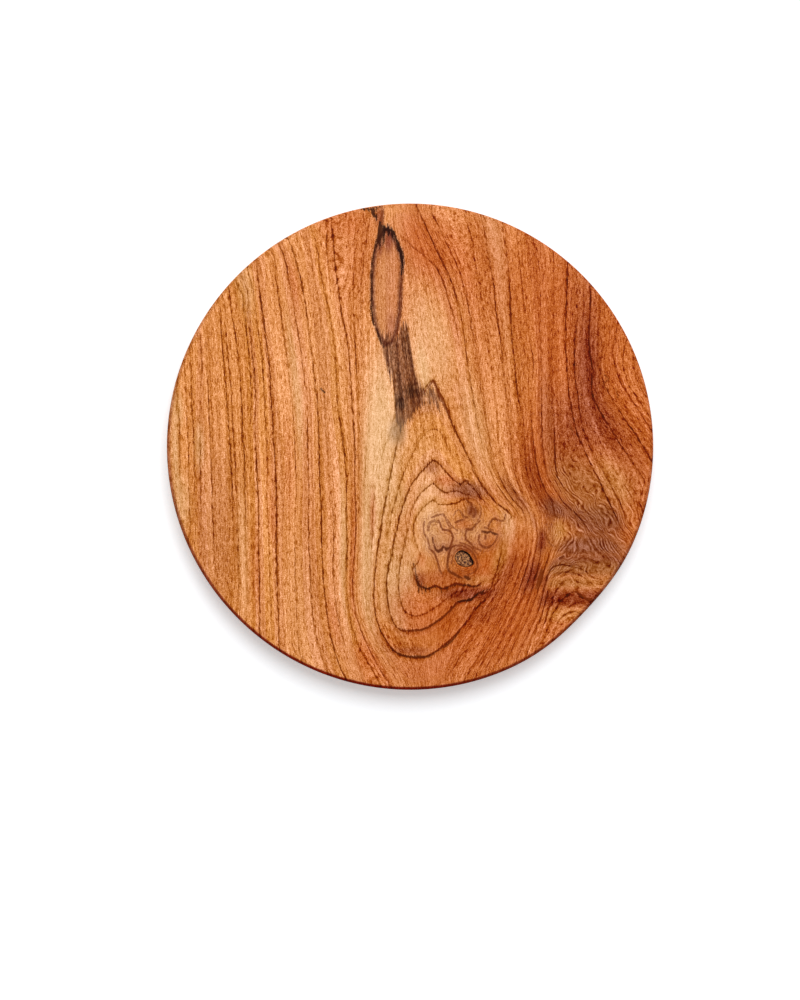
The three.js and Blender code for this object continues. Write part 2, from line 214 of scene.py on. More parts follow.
# Broad tones of the wood between the rings: x, y, half width across the grain, half length along it
# and strength. Each patch follows the grain where that bends.
TONES = {
    "pale": (
        (380, 430, 15, 68, 1.0), (367, 545, 9, 80, 0.8), (587, 487, 18, 22, 0.3), (420, 550, 14, 30, 0.3),
        (384, 495, 10, 45, 0.5), (423, 372, 6, 24, 0.8), (430, 345, 22, 45, 0.45),
        (330, 380, 18, 70, 0.1), (296, 385, 5, 60, 0.5), (245, 285, 8, 30, 0.45), (175, 465, 4, 55, 0.6),
        (183, 502, 7, 26, 0.5), (177, 407, 5, 18, 0.5), (199, 445, 5, 20, 0.5), (386, 572, 6, 34, 0.5),
        (402, 501, 5, 14, 0.4), (408, 577, 5, 10, 0.7), (384, 606, 5, 12, 0.4), (503, 542, 5, 9, 0.6),
        (343, 545, 4, 60, 0.6), (243, 545, 5, 60, 0.3), (405, 575, 8, 40, 0.4), (394, 600, 4, 35, 0.7),
        (428, 500, 12, 24, 0.5), (471, 535, 9, 14, 0.65), (430, 520, 10, 12, 0.5), (431, 541, 9, 12, 0.6),
        (446, 550, 6, 9, 0.4), (508, 532, 5, 20, 0.6), (494, 235, 6, 35, 0.4), (503, 290, 5, 60, 0.3),
        (300, 610, 14, 60, 0.1), (420, 450, 14, 30, 0.2), (474, 425, 13, 42, 0.35),
        (553, 530, 7, 13, 0.7), (578, 583, 12, 7, 0.5), (597, 567, 8, 8, 0.5), (628, 472, 9, 20, 0.5),
    ),
    "red": (
        (425, 245, 32, 38, 0.85), (500, 265, 50, 60, 0.5), (545, 330, 40, 110, 0.5),
        (600, 400, 72, 190, 0.85), (535, 470, 24, 60, 0.75), (510, 620, 70, 60, 0.95),
        (430, 672, 60, 22, 0.7), (455, 625, 32, 26, 0.75), (420, 610, 24, 24, 0.75),
        (440, 560, 50, 66, 0.1), (412, 244, 24, 28, 0.5), (515, 560, 40, 30, 0.7),
        (492, 560, 11, 16, 0.9), (440, 579, 25, 8, 0.6), (475, 495, 20, 14, 0.4), (352, 560, 4, 70, 0.6),
        (360, 245, 20, 45, 0.5), (255, 570, 5, 40, 0.4), (372, 515, 2.5, 24, 0.6), (350, 300, 8, 60, 0.2),
        (480, 340, 10, 60, 0.3), (395, 290, 10, 45, 0.3), (371, 657, 7, 20, 0.8), (350, 223, 8, 12, 0.6),
        (386, 681, 6, 8, 0.6), (445, 480, 8, 5, 0.6), (421, 559, 4, 7, 0.5), (464, 524, 4, 5, 0.6),
        (289, 470, 5, 44, 0.35), (269, 475, 4, 30, 0.35), (410, 640, 26, 14, 0.5), (462, 268, 6, 34, 0.5),
        (454, 321, 6, 24, 0.4), (272, 520, 4, 22, 0.5), (333, 622, 5, 24, 0.5), (294, 282, 5, 24, 0.5),
    ),
    "dark": (
        (587, 365, 13, 50, 0.85), (582, 300, 14, 30, 0.3), (562, 440, 12, 46, 0.5),
        (531, 576, 16, 15, 0.9), (507, 570, 9, 18, 0.5), (470, 593, 19, 7, 0.9), (541, 541, 8, 12, 0.9),
        (576, 563, 11, 8, 0.8), (421, 580, 3, 7, 0.5), (553, 505, 6, 10, 0.6), (388, 240, 7, 11, 0.95),
        (380, 248, 3, 8, 0.8), (391, 325, 6, 12, 0.5), (379, 216, 5, 9, 0.7), (414, 650, 20, 4, 0.5),
        (523, 502, 5, 8, 0.4), (562, 582, 4, 4, 0.5), (431, 467, 6, 6, 0.5), (544, 580, 8, 6, 0.6),
        (533, 521, 5, 8, 0.4), (583, 598, 18, 8, 0.8), (514, 494, 8, 18, 0.5), (621, 437, 12, 30, 0.3),
        (470, 492, 12, 6, 0.4), (445, 577, 26, 7, 0.3), (218, 520, 17, 75, 0.25), (608, 516, 8, 13, 0.4),
        (573, 547, 4, 6, 0.6), (583, 420, 14, 30, 0.6), (480, 612, 16, 12, 0.4), (536, 485, 12, 40, 0.45),
    ),
    "mauve": (
        (590, 520, 18, 16, 0.9), (606, 516, 8, 10, 0.8), (555, 508, 14, 9, 0.9), (592, 545, 15, 10, 0.9),
        (613, 545, 12, 14, 0.5), (545, 420, 9, 50, 0.3), (575, 565, 13, 9, 0.7), (468, 489, 13, 8, 0.8),
        (441, 541, 7, 9, 0.25), (472, 511, 4, 7, 0.8), (424, 400, 14, 14, 0.4), (583, 490, 20, 24, 0.45),
        (461, 547, 16, 4, 0.4),
    ),
    "gold": (
        (443, 560, 7, 8, 0.3), (482, 553, 6, 7, 0.2), (559, 530, 5, 10, 0.7), (597, 568, 8, 7, 0.35),
        (583, 582, 7, 5, 0.45), (575, 614, 8, 6, 0.5), (478, 580, 9, 5, 0.4), (500, 556, 5, 16, 0.6),
        (614, 480, 5, 20, 0.4), (583, 485, 20, 28, 0.3),
    ),
    "grey": ((397, 431, 6, 12, 0.7),),
    # The darkest of the stain, where it has soaked in deepest.
    "soot": (
        (410, 391, 6, 8, 0.7), (400, 402, 5, 7, 0.9), (398, 380, 3, 34, 0.4), (405, 345, 4, 16, 0.3),
        (413, 391, 8, 6, 0.25), (388, 348, 6, 8, 0.2), (433, 384, 4, 6, 0.8), (391, 350, 3, 10, 0.3),
    ),
    # Where small knots and burrs make the fibres curl.
    "curly": ((585, 520, 42, 48, 1.0), (575, 556, 22, 14, 0.9), (560, 470, 14, 30, 0.5)),
    # Where the wood is dense round the knots.
    "knotty": ((462, 542, 36, 40, 1.0), (425, 530, 16, 50, 0.6), (440, 622, 36, 22, 0.4)),
}

# The long dark eye near the back of the rim, and the stain that runs out of its front end.
EYE = ((385, 228), (390, 231), (396, 242), (401, 254), (403, 264), (401, 290), (400, 312), (397, 330),
       (392, 343), (384, 346), (377, 333), (373, 319), (371, 300), (371, 275), (373, 255), (378, 236))
STAIN = ((380, 330), (386, 326), (392, 330), (397, 326), (402, 318), (407, 312), (409, 328), (411, 342),
         (413, 358), (416, 368), (419, 377), (422, 385), (426, 386), (429, 381), (432, 377), (436, 384),
         (440, 392), (443, 399), (444, 405), (438, 401), (431, 396), (424, 397), (419, 401), (414, 408),
         (407, 414), (402, 422), (395, 422), (394, 408), (394, 390), (392, 378), (388, 366), (384, 356),
         (381, 344))

# Dark marks that aren't rings: how dark, and a line of x, y and half width.
MARKS = (
    # A split along the rim and the bark streak that leads in to the eye.
    (0.9, ((347, 210, 0.6), (358, 208, 1.0), (367, 209, 1.2), (382, 206, 0.8))),
    (0.9, ((371, 211, 1.8), (375, 216, 2.0), (376, 220, 0.8))),
    (0.7, ((382, 204, 1.6), (382, 215, 2.0), (381, 224, 2.6))),
    (0.9, ((381, 222, 2.4), (380, 232, 3.4), (379, 240, 2.4), (379, 249, 0.8))),
    # The ring at the stain's front point.
    (0.75, ((424, 392, 0.6), (429, 385, 1.0), (433, 381, 1.4), (437, 390, 1.6), (441, 399, 1.6),
            (445, 408, 1.2), (448, 416, 0.8), (452, 425, 0.4))),
    # The eye's outline, with bark spikes at its back end.
    (0.95, ((382, 226, 2.0), (385, 229, 2.2), (389, 230, 2.0), (393, 232, 1.8), (396, 240, 1.8),
            (399, 248, 2.2), (401, 255, 2.4), (402, 263, 1.8), (401, 275, 1.2))),
    (0.95, ((387, 224, 0.5), (388, 230, 2.0), (388, 236, 0.6))),
    (0.95, ((391, 227, 0.4), (392, 233, 1.8), (394, 241, 0.5))),
    (0.9, ((396, 236, 0.8), (397, 245, 1.6), (396, 251, 0.4))),
    (0.95, ((383, 228, 2.0), (383, 238, 1.4), (382, 246, 0.4))),
    (0.8, ((401, 275, 1.2), (401, 300, 1.0), (400, 313, 1.2), (398, 327, 1.1), (395, 336, 0.8))),
    (0.9, ((380, 228, 2.6), (377, 240, 1.9), (373, 255, 1.2), (371, 270, 1.1), (371, 287, 1.0),
           (371, 303, 1.0), (372, 318, 1.1), (376, 330, 1.0), (380, 340, 1.2), (383, 347, 0.8))),
    # The torn edge under the knots.
    (0.88, ((413, 563, 0.4), (415, 571, 0.5), (416, 578, 0.7), (418, 585, 1.2), (422, 587, 1.1),
            (427, 588, 0.9), (432, 587, 0.6), (437, 586, 0.3), (441, 588, 0.5), (445, 588, 0.5),
            (450, 586, 0.3), (457, 584, 0.5), (462, 585, 0.7), (467, 584, 0.6), (472, 586, 0.5),
            (480, 585, 0.2))),
    (0.88, ((417, 574, 0.3), (418, 586, 0.8), (418, 592, 0.1))),
    (0.88, ((421, 580, 0.1), (421, 587, 0.9), (422, 593, 0.1))),
    (0.88, ((425, 584, 0.1), (425, 588, 0.8), (425, 592, 0.1))),
    (0.88, ((429, 588, 0.7), (430, 592, 0.1))),
    (0.88, ((440, 587, 0.6), (441, 592, 0.1))),
    (0.88, ((447, 587, 0.5), (447, 591, 0.1))),
    (0.9, ((456, 601, 0.5), (464, 600, 1.1), (470, 599, 1.4), (475, 595, 1.0), (481, 591, 0.6),
           (488, 589, 0.3))),
    # Thick stretches of the two rings in front of it.
    (0.85, ((393, 650, 0.4), (400, 654, 1.2), (408, 656, 1.5), (418, 656, 1.7), (427, 656, 1.3),
            (434, 652, 0.8), (441, 648, 0.7), (447, 644, 1.1), (453, 638, 0.9), (459, 631, 0.4))),
    (0.8, ((399, 627, 0.3), (407, 630, 0.6), (415, 630, 0.8), (422, 629, 1.1), (429, 626, 0.9),
           (436, 621, 0.9), (443, 616, 0.8), (450, 610, 0.7), (457, 603, 0.5))),
    # The small knots round the loose one: the left one,
    (0.75, ((438, 520, 0.4), (440, 524, 0.5), (442, 529, 0.6), (449, 530, 0.7), (452, 535, 0.5),
            (452, 540, 0.5), (449, 547, 0.7))),
    (0.85, ((449, 547, 0.9), (446, 549, 0.9), (443, 546, 0.8), (441, 549, 1.2), (438, 551, 1.1),
            (435, 549, 0.6), (433, 542, 0.4), (432, 537, 0.3))),
    (0.35, ((428, 530, 0.8), (428, 525, 0.9), (430, 522, 0.9), (434, 520, 0.7), (438, 522, 0.5))),
    (0.6, ((431, 517, 0.4), (436, 515, 0.6), (439, 514, 0.4), (443, 514, 0.5), (445, 517, 0.3),
           (446, 521, 0.3), (450, 528, 0.4))),
    (0.5, ((424, 521, 0.4), (423, 527, 0.3), (424, 534, 0.5), (427, 538, 0.4), (429, 548, 0.4))),
    (0.75, ((430, 549, 0.4), (434, 553, 0.6), (437, 561, 0.5), (439, 569, 0.6), (441, 573, 0.5))),
    # the back one and its neighbour,
    (0.75, ((466, 500, 0.8), (471, 504, 0.9), (471, 508, 1.4), (469, 513, 1.0))),
    (0.6, ((474, 508, 0.7), (475, 512, 0.9), (473, 516, 1.1))),
    (0.4, ((476, 501, 0.3), (480, 506, 0.4), (480, 514, 0.4), (477, 521, 0.4))),
    (0.5, ((453, 515, 0.3), (455, 511, 0.4), (458, 509, 0.4), (461, 512, 0.6), (463, 516, 1.1),
           (467, 517, 0.6))),
    (0.75, ((455, 522, 0.4), (459, 520, 0.8), (463, 519, 0.5))),
    (0.4, ((447, 519, 0.3), (450, 524, 0.4), (454, 528, 0.4), (457, 530, 0.3))),
    (0.7, ((480, 520, 0.3), (475, 524, 0.5), (471, 529, 0.8), (466, 529, 0.9), (465, 535, 0.5),
           (465, 539, 0.6), (468, 541, 0.6), (471, 544, 0.4), (474, 548, 0.3))),
    # the right one,
    (0.65, ((479, 534, 0.3), (478, 539, 0.5), (479, 543, 0.6), (482, 546, 0.8), (487, 547, 0.9),
            (491, 545, 0.5), (495, 540, 0.4), (497, 534, 0.4))),
    (0.85, ((482, 531, 0.8), (487, 532, 0.9), (490, 531, 0.6), (493, 533, 0.8), (497, 534, 0.8))),
    (0.5, ((484, 527, 0.5), (488, 528, 0.4), (492, 530, 0.4))),
    (0.7, ((485, 535, 0.5), (485, 538, 0.6))),
    (0.7, ((488, 525, 0.8), (490, 521, 0.7), (494, 518, 0.9), (498, 520, 0.5), (503, 520, 0.5),
           (505, 514, 0.4))),
    # and the rings close round the loose one.
    (0.8, ((454, 545, 0.4), (450, 548, 0.7), (448, 555, 0.9), (447, 562, 0.7), (448, 570, 1.0),
           (453, 573, 1.3), (458, 576, 1.2), (462, 578, 0.6))),
    (0.55, ((454, 545, 0.4), (461, 545, 0.4), (467, 548, 0.5), (473, 553, 0.5), (476, 561, 0.4),
            (477, 567, 0.6), (473, 572, 0.5), (467, 574, 0.4))),
    (0.4, ((459, 542, 0.3), (466, 544, 0.4), (472, 548, 0.4), (477, 554, 0.3))),
    (0.4, ((451, 563, 0.3), (452, 557, 0.4), (455, 550, 0.4), (461, 548, 0.4), (467, 551, 0.3))),
    (0.85, ((464, 576, 1.4), (468, 578, 1.6))),
    (0.4, ((476, 548, 0.4), (480, 550, 0.6))),
    # Pin knots and a nick.
    (0.8, ((559, 558, 1.4), (563, 556, 1.2))),
    (0.9, ((320, 388, 0.8), (324, 392, 1.0))),
    (0.6, ((302, 656, 0.7), (303, 665, 0.7))),
    (0.6, ((604, 375, 0.9), (608, 379, 0.9), (602, 384, 0.6), (607, 389, 0.9))),
    (0.6, ((615, 388, 0.6), (617, 397, 0.8))),
    (0.6, ((569, 424, 0.7), (572, 432, 0.9))),
    (0.7, ((541, 570, 2.0), (539, 580, 3.0), (536, 588, 1.2))),
    # Folds of the burr.
    (0.5, ((543, 529, 0.4), (546, 537, 0.7), (550, 544, 0.6), (555, 546, 0.3))),
    (0.45, ((567, 555, 0.4), (574, 552, 0.6), (581, 557, 0.5), (587, 563, 0.4))),
    (0.5, ((563, 561, 0.4), (570, 563, 0.8), (578, 565, 0.8), (586, 567, 0.4))),
    (0.45, ((566, 571, 0.4), (574, 574, 0.7), (583, 572, 0.4))),
    (0.5, ((553, 507, 0.6), (553, 513, 1.4), (558, 517, 1.0))),
    (0.4, ((578, 511, 1.6), (582, 512, 1.4))),
    (0.35, ((585, 521, 1.0), (592, 527, 1.2))),
    (0.6, ((575, 591, 0.8), (586, 598, 1.4), (594, 600, 1.8), (600, 594, 1.4))),
)

# The plate's section and its knot, in millimetres, as the solids have them.
MM = 0.001
BOARD_LOW, BOARD_HIGH = (np.array(corner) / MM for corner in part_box("teak_board"))
PLATE_RADIUS = (BOARD_HIGH[0] - BOARD_LOW[0]) / 2
THICKNESS = BOARD_HIGH[2]
TOP_EDGE_ROUND = 1.6
RIM_BAND = 8
LOWER_EDGE_ROUND = 2.4
FOOT_RADIUS = 108
FOOT_EDGE_ROUND = 0.8
FOOT_RING_WIDTH = 14
RECESS_DEPTH = 1.5
RECESS_COVE = 3
UNDERSIDE_RECESS = 0.4
PIECES_BOTTOM = RECESS_DEPTH + UNDERSIDE_RECESS  # of the stub and the filler
FLAT_SPOT_DEPTH = 1.7
FLAT_SPOT_ANGLE = math.radians(-43)
FLAT_SPOT_SPREAD = math.radians(12)
KNOT_CENTRE = np.array((31.2, -64.6))
KNOT_LEAN = np.array((-2.2, 3.0))
KNOT_LOWER_SCALE = 0.72
KNOT_OUTLINE = ((-0.5, 4.8), (2.5, 3.2), (4.3, 0.6), (5.6, -2.0), (5.0, -3.8), (1.0, -4.9), (-3.4, -3.4),
                (-4.9, -0.9), (-5.4, 1.4), (-4.1, 3.7), (-2.3, 4.8))
CORE_SCALE = 0.66
CORE_SHIFT = np.array((-0.6, -0.55))
END_SCALE = 0.9  # the stub's torn end has spread over the filler
END_SHIFT = np.array((-0.4, -0.35))

# How finely the board's mesh is cut. The figure is carried by its vertices.
RIM_STEPS = 360
KNOT_STEPS = 66
TOP_SPACING = 1.08
UNDERSIDE_SPACING = 3.0
KNOT_SPACING = 0.8
KNOT_AREA = 30  # how far from the middle of the knots that spacing reaches
MARK_SPACING = 0.4
WALL_HEIGHTS = (14.5, 11, 7.5, 4)  # of the loops down the knot hole's wall
WHOLE_PLATE = np.full(2, PLATE_RADIUS)  # half the size of the square that grids are laid over

RING_WIDTH = 4.5  # of a year's growth, measured square to the ring
PIXEL = PLATE_RADIUS / PLATE_RADIUS_PX  # the size of a photograph's pixel on the top face
RING_STEP = 7 * PIXEL  # between the points of a smoothed trace
FIBRE_STEP = 12 * PIXEL
MARK_STEP = 3 * PIXEL
CLOSED_RINGS = range(1, 7)  # the rings that close round the knots


def on_plate(points):
    """Places in the photograph as places on the plate, in millimetres; what follows x and y is kept."""
    placed = np.array(points, float)
    placed[:, 0] = (placed[:, 0] - PLATE_CENTRE_PX[0]) * PIXEL
    placed[:, 1] = (PLATE_CENTRE_PX[1] - placed[:, 1]) * PIXEL
    return placed


def smooth_line(points, spacing, closed=False):
    """Even points on a smooth curve through the given ones."""
    points = np.array(points, float)
    if closed:
        ends = np.vstack([points[-1:], points, points[:2]])
    else:
        ends = np.vstack([2 * points[0] - points[1], points, 2 * points[-1] - points[-2]])
    pieces = []
    for before, start, end, after in zip(ends, ends[1:], ends[2:], ends[3:]):
        count = max(1, round(np.hypot(*(end - start)[:2]) / spacing))
        t = (np.arange(count) / count)[:, None]
        pieces.append(0.5 * (2 * start + (end - before) * t
                             + (2 * before - 5 * start + 4 * end - after) * t ** 2
                             + (3 * start - before - 3 * end + after) * t ** 3))
    if not closed:
        pieces.append(points[-1:])
    return np.vstack(pieces)


def in_parts(work, places, size=800):
    """Runs work on a few places at a time, because each is compared with every traced point."""
    with ThreadPoolExecutor() as pool:
        parts = list(pool.map(work, (places[i:i + size] for i in range(0, len(places), size))))
    return [np.concatenate(column) for column in zip(*parts)]


def stretched_sheet(points, heights, give=0.01):
    """The height and slope, anywhere, of a springy sheet that is held at the given points.

    With more give it passes near the points and runs smoother. Each point's pull on the height grows
    with the distance to the power of stiffness.
    """
    stiffness = 1.5
    nearest = 0.1
    count = len(points)
    apart = np.sqrt(((points[:, None] - points[None]) ** 2).sum(-1))
    flat = np.hstack([np.ones((count, 1)), points])
    system = np.block([[apart ** stiffness - give * np.eye(count), flat], [flat.T, np.zeros((3, 3))]])
    weights = np.linalg.solve(system, np.concatenate([heights, np.zeros(3)]))

    def sheet(places):
        away = places[:, None] - points[None]
        apart = np.sqrt((away ** 2).sum(-1))
        root = np.sqrt(apart)
        height = (apart * root) @ weights[:count] + weights[count] + places @ weights[count + 1:]
        pull = stiffness * weights[:count] / np.maximum(root, nearest)
        slope = np.stack([(pull * away[..., axis]).sum(1) for axis in (0, 1)], -1) + weights[count + 1:]
        return height, slope

    return sheet


# The growth rings

RING_TRACES = [(number, smooth_line(on_plate(line), RING_STEP, closed=number in CLOSED_RINGS))
               for number, line in RINGS]
RING_POINTS = np.vstack([line for _, line in RING_TRACES])
RING_NUMBERS = np.concatenate([np.full(len(line), number) for number, line in RING_TRACES])
ring_sheet = stretched_sheet(RING_POINTS[:, :2], RING_NUMBERS)


def ring_figure(places):
    """The ring number at each place, how fast it grows across the face, and how dark the ring is."""
    # A point of another ring counts as far off, and far from every trace a ring is faint.
    far = 14.0
    faint = 2.0
    blend = 0.3
    number, slope = ring_sheet(places)
    away = ((places[:, None] - RING_POINTS[None, :, :2]) ** 2).sum(-1)
    other_ring = far * (number[:, None] - RING_NUMBERS[None])
    nearness = 1 / (away + other_ring ** 2 + blend) ** 2
    unseen = 1 / far ** 4
    darkness = (nearness @ RING_POINTS[:, 2] + unseen * faint) / (nearness.sum(1) + unseen)
    return number, np.hypot(*slope.T), darkness / 10


# The fibres, which run beside the outer rings

FIBRE_LINES = [(line[:, 0].mean(), line[:, :2]) for number, line in RING_TRACES
               if number > max(CLOSED_RINGS)]
FIBRE_LINES += [(on_plate([(x, 0)])[0, 0], smooth_line(on_plate(line), FIBRE_STEP))
                for x, line in CENTRE_FIBRES]
FIBRE_POINTS = np.vstack([line for _, line in FIBRE_LINES])
FIBRE_OFFSETS = np.concatenate([np.full(len(line), offset) for offset, line in FIBRE_LINES])
fibre_sheet = stretched_sheet(FIBRE_POINTS, FIBRE_OFFSETS, give=30)


def patches(tone, across, along):
    """How strongly one broad tone lies at each place, from 0 to 1.

    A patch is nearly even inside and fades fast at its edge.
    """
    fade = 0.7
    steepness = 1.5
    bare = np.ones(len(across))
    for x, y, half_width, half_length, strength in TONES[tone]:
        centre = on_plate([(x, y)])
        centre_across = fibre_sheet(centre)[0][0]
        square = ((across - centre_across) / (half_width * PIXEL)) ** 2
        square += ((along - centre[0, 1]) / (half_length * PIXEL)) ** 2
        bare *= 1 - strength * np.exp(-fade * square ** steepness)
    return 1 - bare


def line_distance(places, start, end):
    """The distance from each place to a straight stretch, and how far along it the nearest point is."""
    step = end[:2] - start[:2]
    share = np.clip((places - start[:2]) @ step / (step @ step), 0, 1)
    return np.hypot(*(places - start[:2] - share[:, None] * step).T), share


def depth_inside(places, outline):
    """How far each place lies inside a closed outline. Outside, it is below 0."""
    nearest = np.full(len(places), np.inf)
    inside = np.zeros(len(places), bool)
    for start, end in zip(outline, np.roll(outline, -1, axis=0)):
        nearest = np.minimum(nearest, line_distance(places, start, end)[0])
        spans = (start[1] > places[:, 1]) != (end[1] > places[:, 1])
        rise = end[1] - start[1] if end[1] != start[1] else 1
        crossing = start[0] + (places[:, 1] - start[1]) / rise * (end[0] - start[0])
        inside ^= spans & (places[:, 0] < crossing)
    return np.where(inside, nearest, -nearest)


MARK_LINES = [(darkness, smooth_line(on_plate(line), MARK_STEP)) for darkness, line in MARKS]
NO_MARK = -9.0


def marks(places):
    """How far each place lies inside the nearest dark mark, and how dark that mark is."""
    depth = np.full(len(places), NO_MARK)
    tone = np.zeros(len(places))
    for darkness, line in MARK_LINES:
        for start, end in zip(line, line[1:]):
            distance, share = line_distance(places, start, end)
            half_width = (start[2] + (end[2] - start[2]) * share) * PIXEL
            deeper = half_width - distance > depth
            depth = np.where(deeper, half_width - distance, depth)
            tone = np.where(deeper, darkness, tone)
    return depth, tone


# The board's shape

def arc(centre_x, centre_z, radius, start, end, steps):
    """Points on a rounded corner of the section, between two angles in degrees."""
    angles = np.radians(np.linspace(start, end, steps + 1))
    return np.stack([centre_x + radius * np.cos(angles), centre_z + radius * np.sin(angles)], -1)


def between(start, end, count):
    """Even points between two others, without those."""
    return np.linspace(start, end, count + 2)[1:-1]


def section():
    """The board's outline from the edge of the flat top down round the rim to the hollow under it."""
    ring_inner = FOOT_RADIUS - FOOT_RING_WIDTH
    lower = (PLATE_RADIUS - LOWER_EDGE_ROUND, THICKNESS - RIM_BAND + LOWER_EDGE_ROUND)
    foot = (FOOT_RADIUS - FOOT_EDGE_ROUND, FOOT_EDGE_ROUND)
    bevel = math.degrees(math.atan2(lower[1] - LOWER_EDGE_ROUND - foot[1], lower[0] - foot[0]))
    upper = (PLATE_RADIUS - TOP_EDGE_ROUND, THICKNESS - TOP_EDGE_ROUND)
    upper_arc = arc(*upper, TOP_EDGE_ROUND, 90, 0, steps=6)
    lower_arc = arc(*lower, LOWER_EDGE_ROUND, 0, bevel - 90, steps=6)
    foot_arc = arc(*foot, FOOT_EDGE_ROUND, bevel - 90, -90, steps=4)
    cove = [(ring_inner, 0), (ring_inner - RECESS_COVE / 3, RECESS_DEPTH / 2),
            (ring_inner - RECESS_COVE, RECESS_DEPTH)]
    band = between(upper_arc[-1], lower_arc[0], 4)
    slope = between(lower_arc[-1], foot_arc[0], 14)
    ring = between(foot_arc[-1], cove[0], 5)
    return np.vstack([upper_arc, band, lower_arc, slope, foot_arc, ring, cove])


def drawn_in(radius, angle):
    """The radius once the rim has been sanded a little flat at the front right."""
    share = np.clip((radius - FOOT_RADIUS) / (PLATE_RADIUS - LOWER_EDGE_ROUND - FOOT_RADIUS), 0, 1)
    share = share ** 2 * (3 - 2 * share)
    return radius - share * FLAT_SPOT_DEPTH * np.exp(-((angle - FLAT_SPOT_ANGLE) / FLAT_SPOT_SPREAD) ** 2)


def turned(radius, height):
    """A circle of the board's surface, as points in space."""
    angle = np.linspace(-math.pi, math.pi, RIM_STEPS, endpoint=False)
    radii = drawn_in(radius, angle)
    return np.stack([radii * np.cos(angle), radii * np.sin(angle), np.full(RIM_STEPS, height)], -1)


def knot_loop(height, scale=1.0, shift=(0.0, 0.0), grow=0.0, steps=KNOT_STEPS):
    """The knot's outline at a height, drawn larger or smaller by scale, then grown outwards."""
    finely = 0.05
    curve = smooth_line(KNOT_OUTLINE, finely, closed=True)[::-1]
    curve = curve[np.linspace(0, len(curve), steps, endpoint=False).astype(int)]
    down = 1 - height / THICKNESS
    size = scale * (1 + (KNOT_LOWER_SCALE - 1) * down)
    outward = curve / np.hypot(*curve.T)[:, None]
    flat = KNOT_CENTRE + KNOT_LEAN * down + np.array(shift) + curve * size + outward * grow
    return np.column_stack([flat, np.full(steps, height)])


def grid_over(low, high, spacing):
    """Points in even triangles over a box, in the same places for every box that holds them."""
    row_height = spacing * math.sqrt(3) / 2
    column, row = (np.arange(math.floor(low[axis] / step), math.ceil(high[axis] / step) + 1)
                   for axis, step in enumerate((spacing, row_height)))
    row, column = np.meshgrid(row, column, indexing="ij")
    return np.stack([(column + 0.5 * (row % 2)) * spacing, row * row_height], -1).reshape(-1, 2)


def face_sheet(outer, hole, inner_points, clearance):
    """Triangles over the flat face between the outer loop and the knot hole, both loops first."""
    hole_clearance = 0.25
    merge_distance = 1e-6
    flat_hole = hole[:, :2]
    keep = np.hypot(*inner_points.T) < np.hypot(*outer[:, :2].T).min() - clearance
    keep &= depth_inside(inner_points, flat_hole) < -hole_clearance
    points = np.vstack([outer[:, :2], flat_hole, inner_points[keep]])
    count = len(outer)
    edges = [(i, (i + 1) % count) for i in range(count)]
    edges += [(count + i, count + (i + 1) % len(hole)) for i in range(len(hole))]
    inside = 1  # the kind of output that leaves out what lies beyond the outer loop
    found, _, faces, *_ = delaunay_2d_cdt([Vector(p) for p in points], edges, [], inside,
                                          merge_distance, False)
    found = np.array([tuple(p) for p in found])
    faces = np.array(faces)
    in_hole = depth_inside(found[faces].mean(1), flat_hole) > 0
    return np.column_stack([found, np.full(len(found), outer[0, 2])]), faces[~in_hole]


def band_faces(upper, lower, count):
    """Quads between two loops of equal count, whose first vertices are given."""
    i = np.arange(count)
    j = (i + 1) % count
    return np.stack([upper + i, lower + i, lower + j, upper + j], -1)


# Where the surface lies on its map, so that the figure is baked at an even scale: the top with the
# rim round it, the underside beside it, and the knot hole's wall in a free corner.
TOP_MAP_CENTRE = np.array((0.373, 0.627))
UNDER_MAP_CENTRE = np.array((0.787, 0.213))
WALL_MAP_CORNER = np.array((0.05, 0.05))
WALL_MAP_SIZE = (0.09, 0.045)
MAP_SCALE = 0.00248  # of the map's width, for each millimetre
UNDER_MAP_SCALE = 0.00152

# The names under which the board's mesh carries the figure, and the three numbers that each one holds.
FIGURE_PARTS = {
    "rings": ("number", "slope", "darkness"),
    "grain": ("across", "along", "sideways"),
    "tones": ("pale", "red", "dark"),
    "blemishes": ("mauve", "grey", "eye"),
    "stain": ("stain", "ahead", "oiled_edge"),
    "ink": ("ink", "ink_tone", "knotty"),
    "curls": ("curly", "depth", "soot"),
    "knot": ("beside_knot", "gold", "from_rim"),
}

# The eye, the stain and the dark marks narrow by this much for each millimetre of depth.
EYE_TAPER = 0.5
STAIN_TAPER = 0.3
MARK_TAPER = 0.12
STAIN_STREAK = 7.0  # how far the points at the stain's ends run along the grain
# The side on which the rim's painted shade is strongest, away from the lamp behind the plate.
SHADED_RIM_SIDE = (-0.26, -0.97)  # where the rim is darkest, at the front and a little to the left


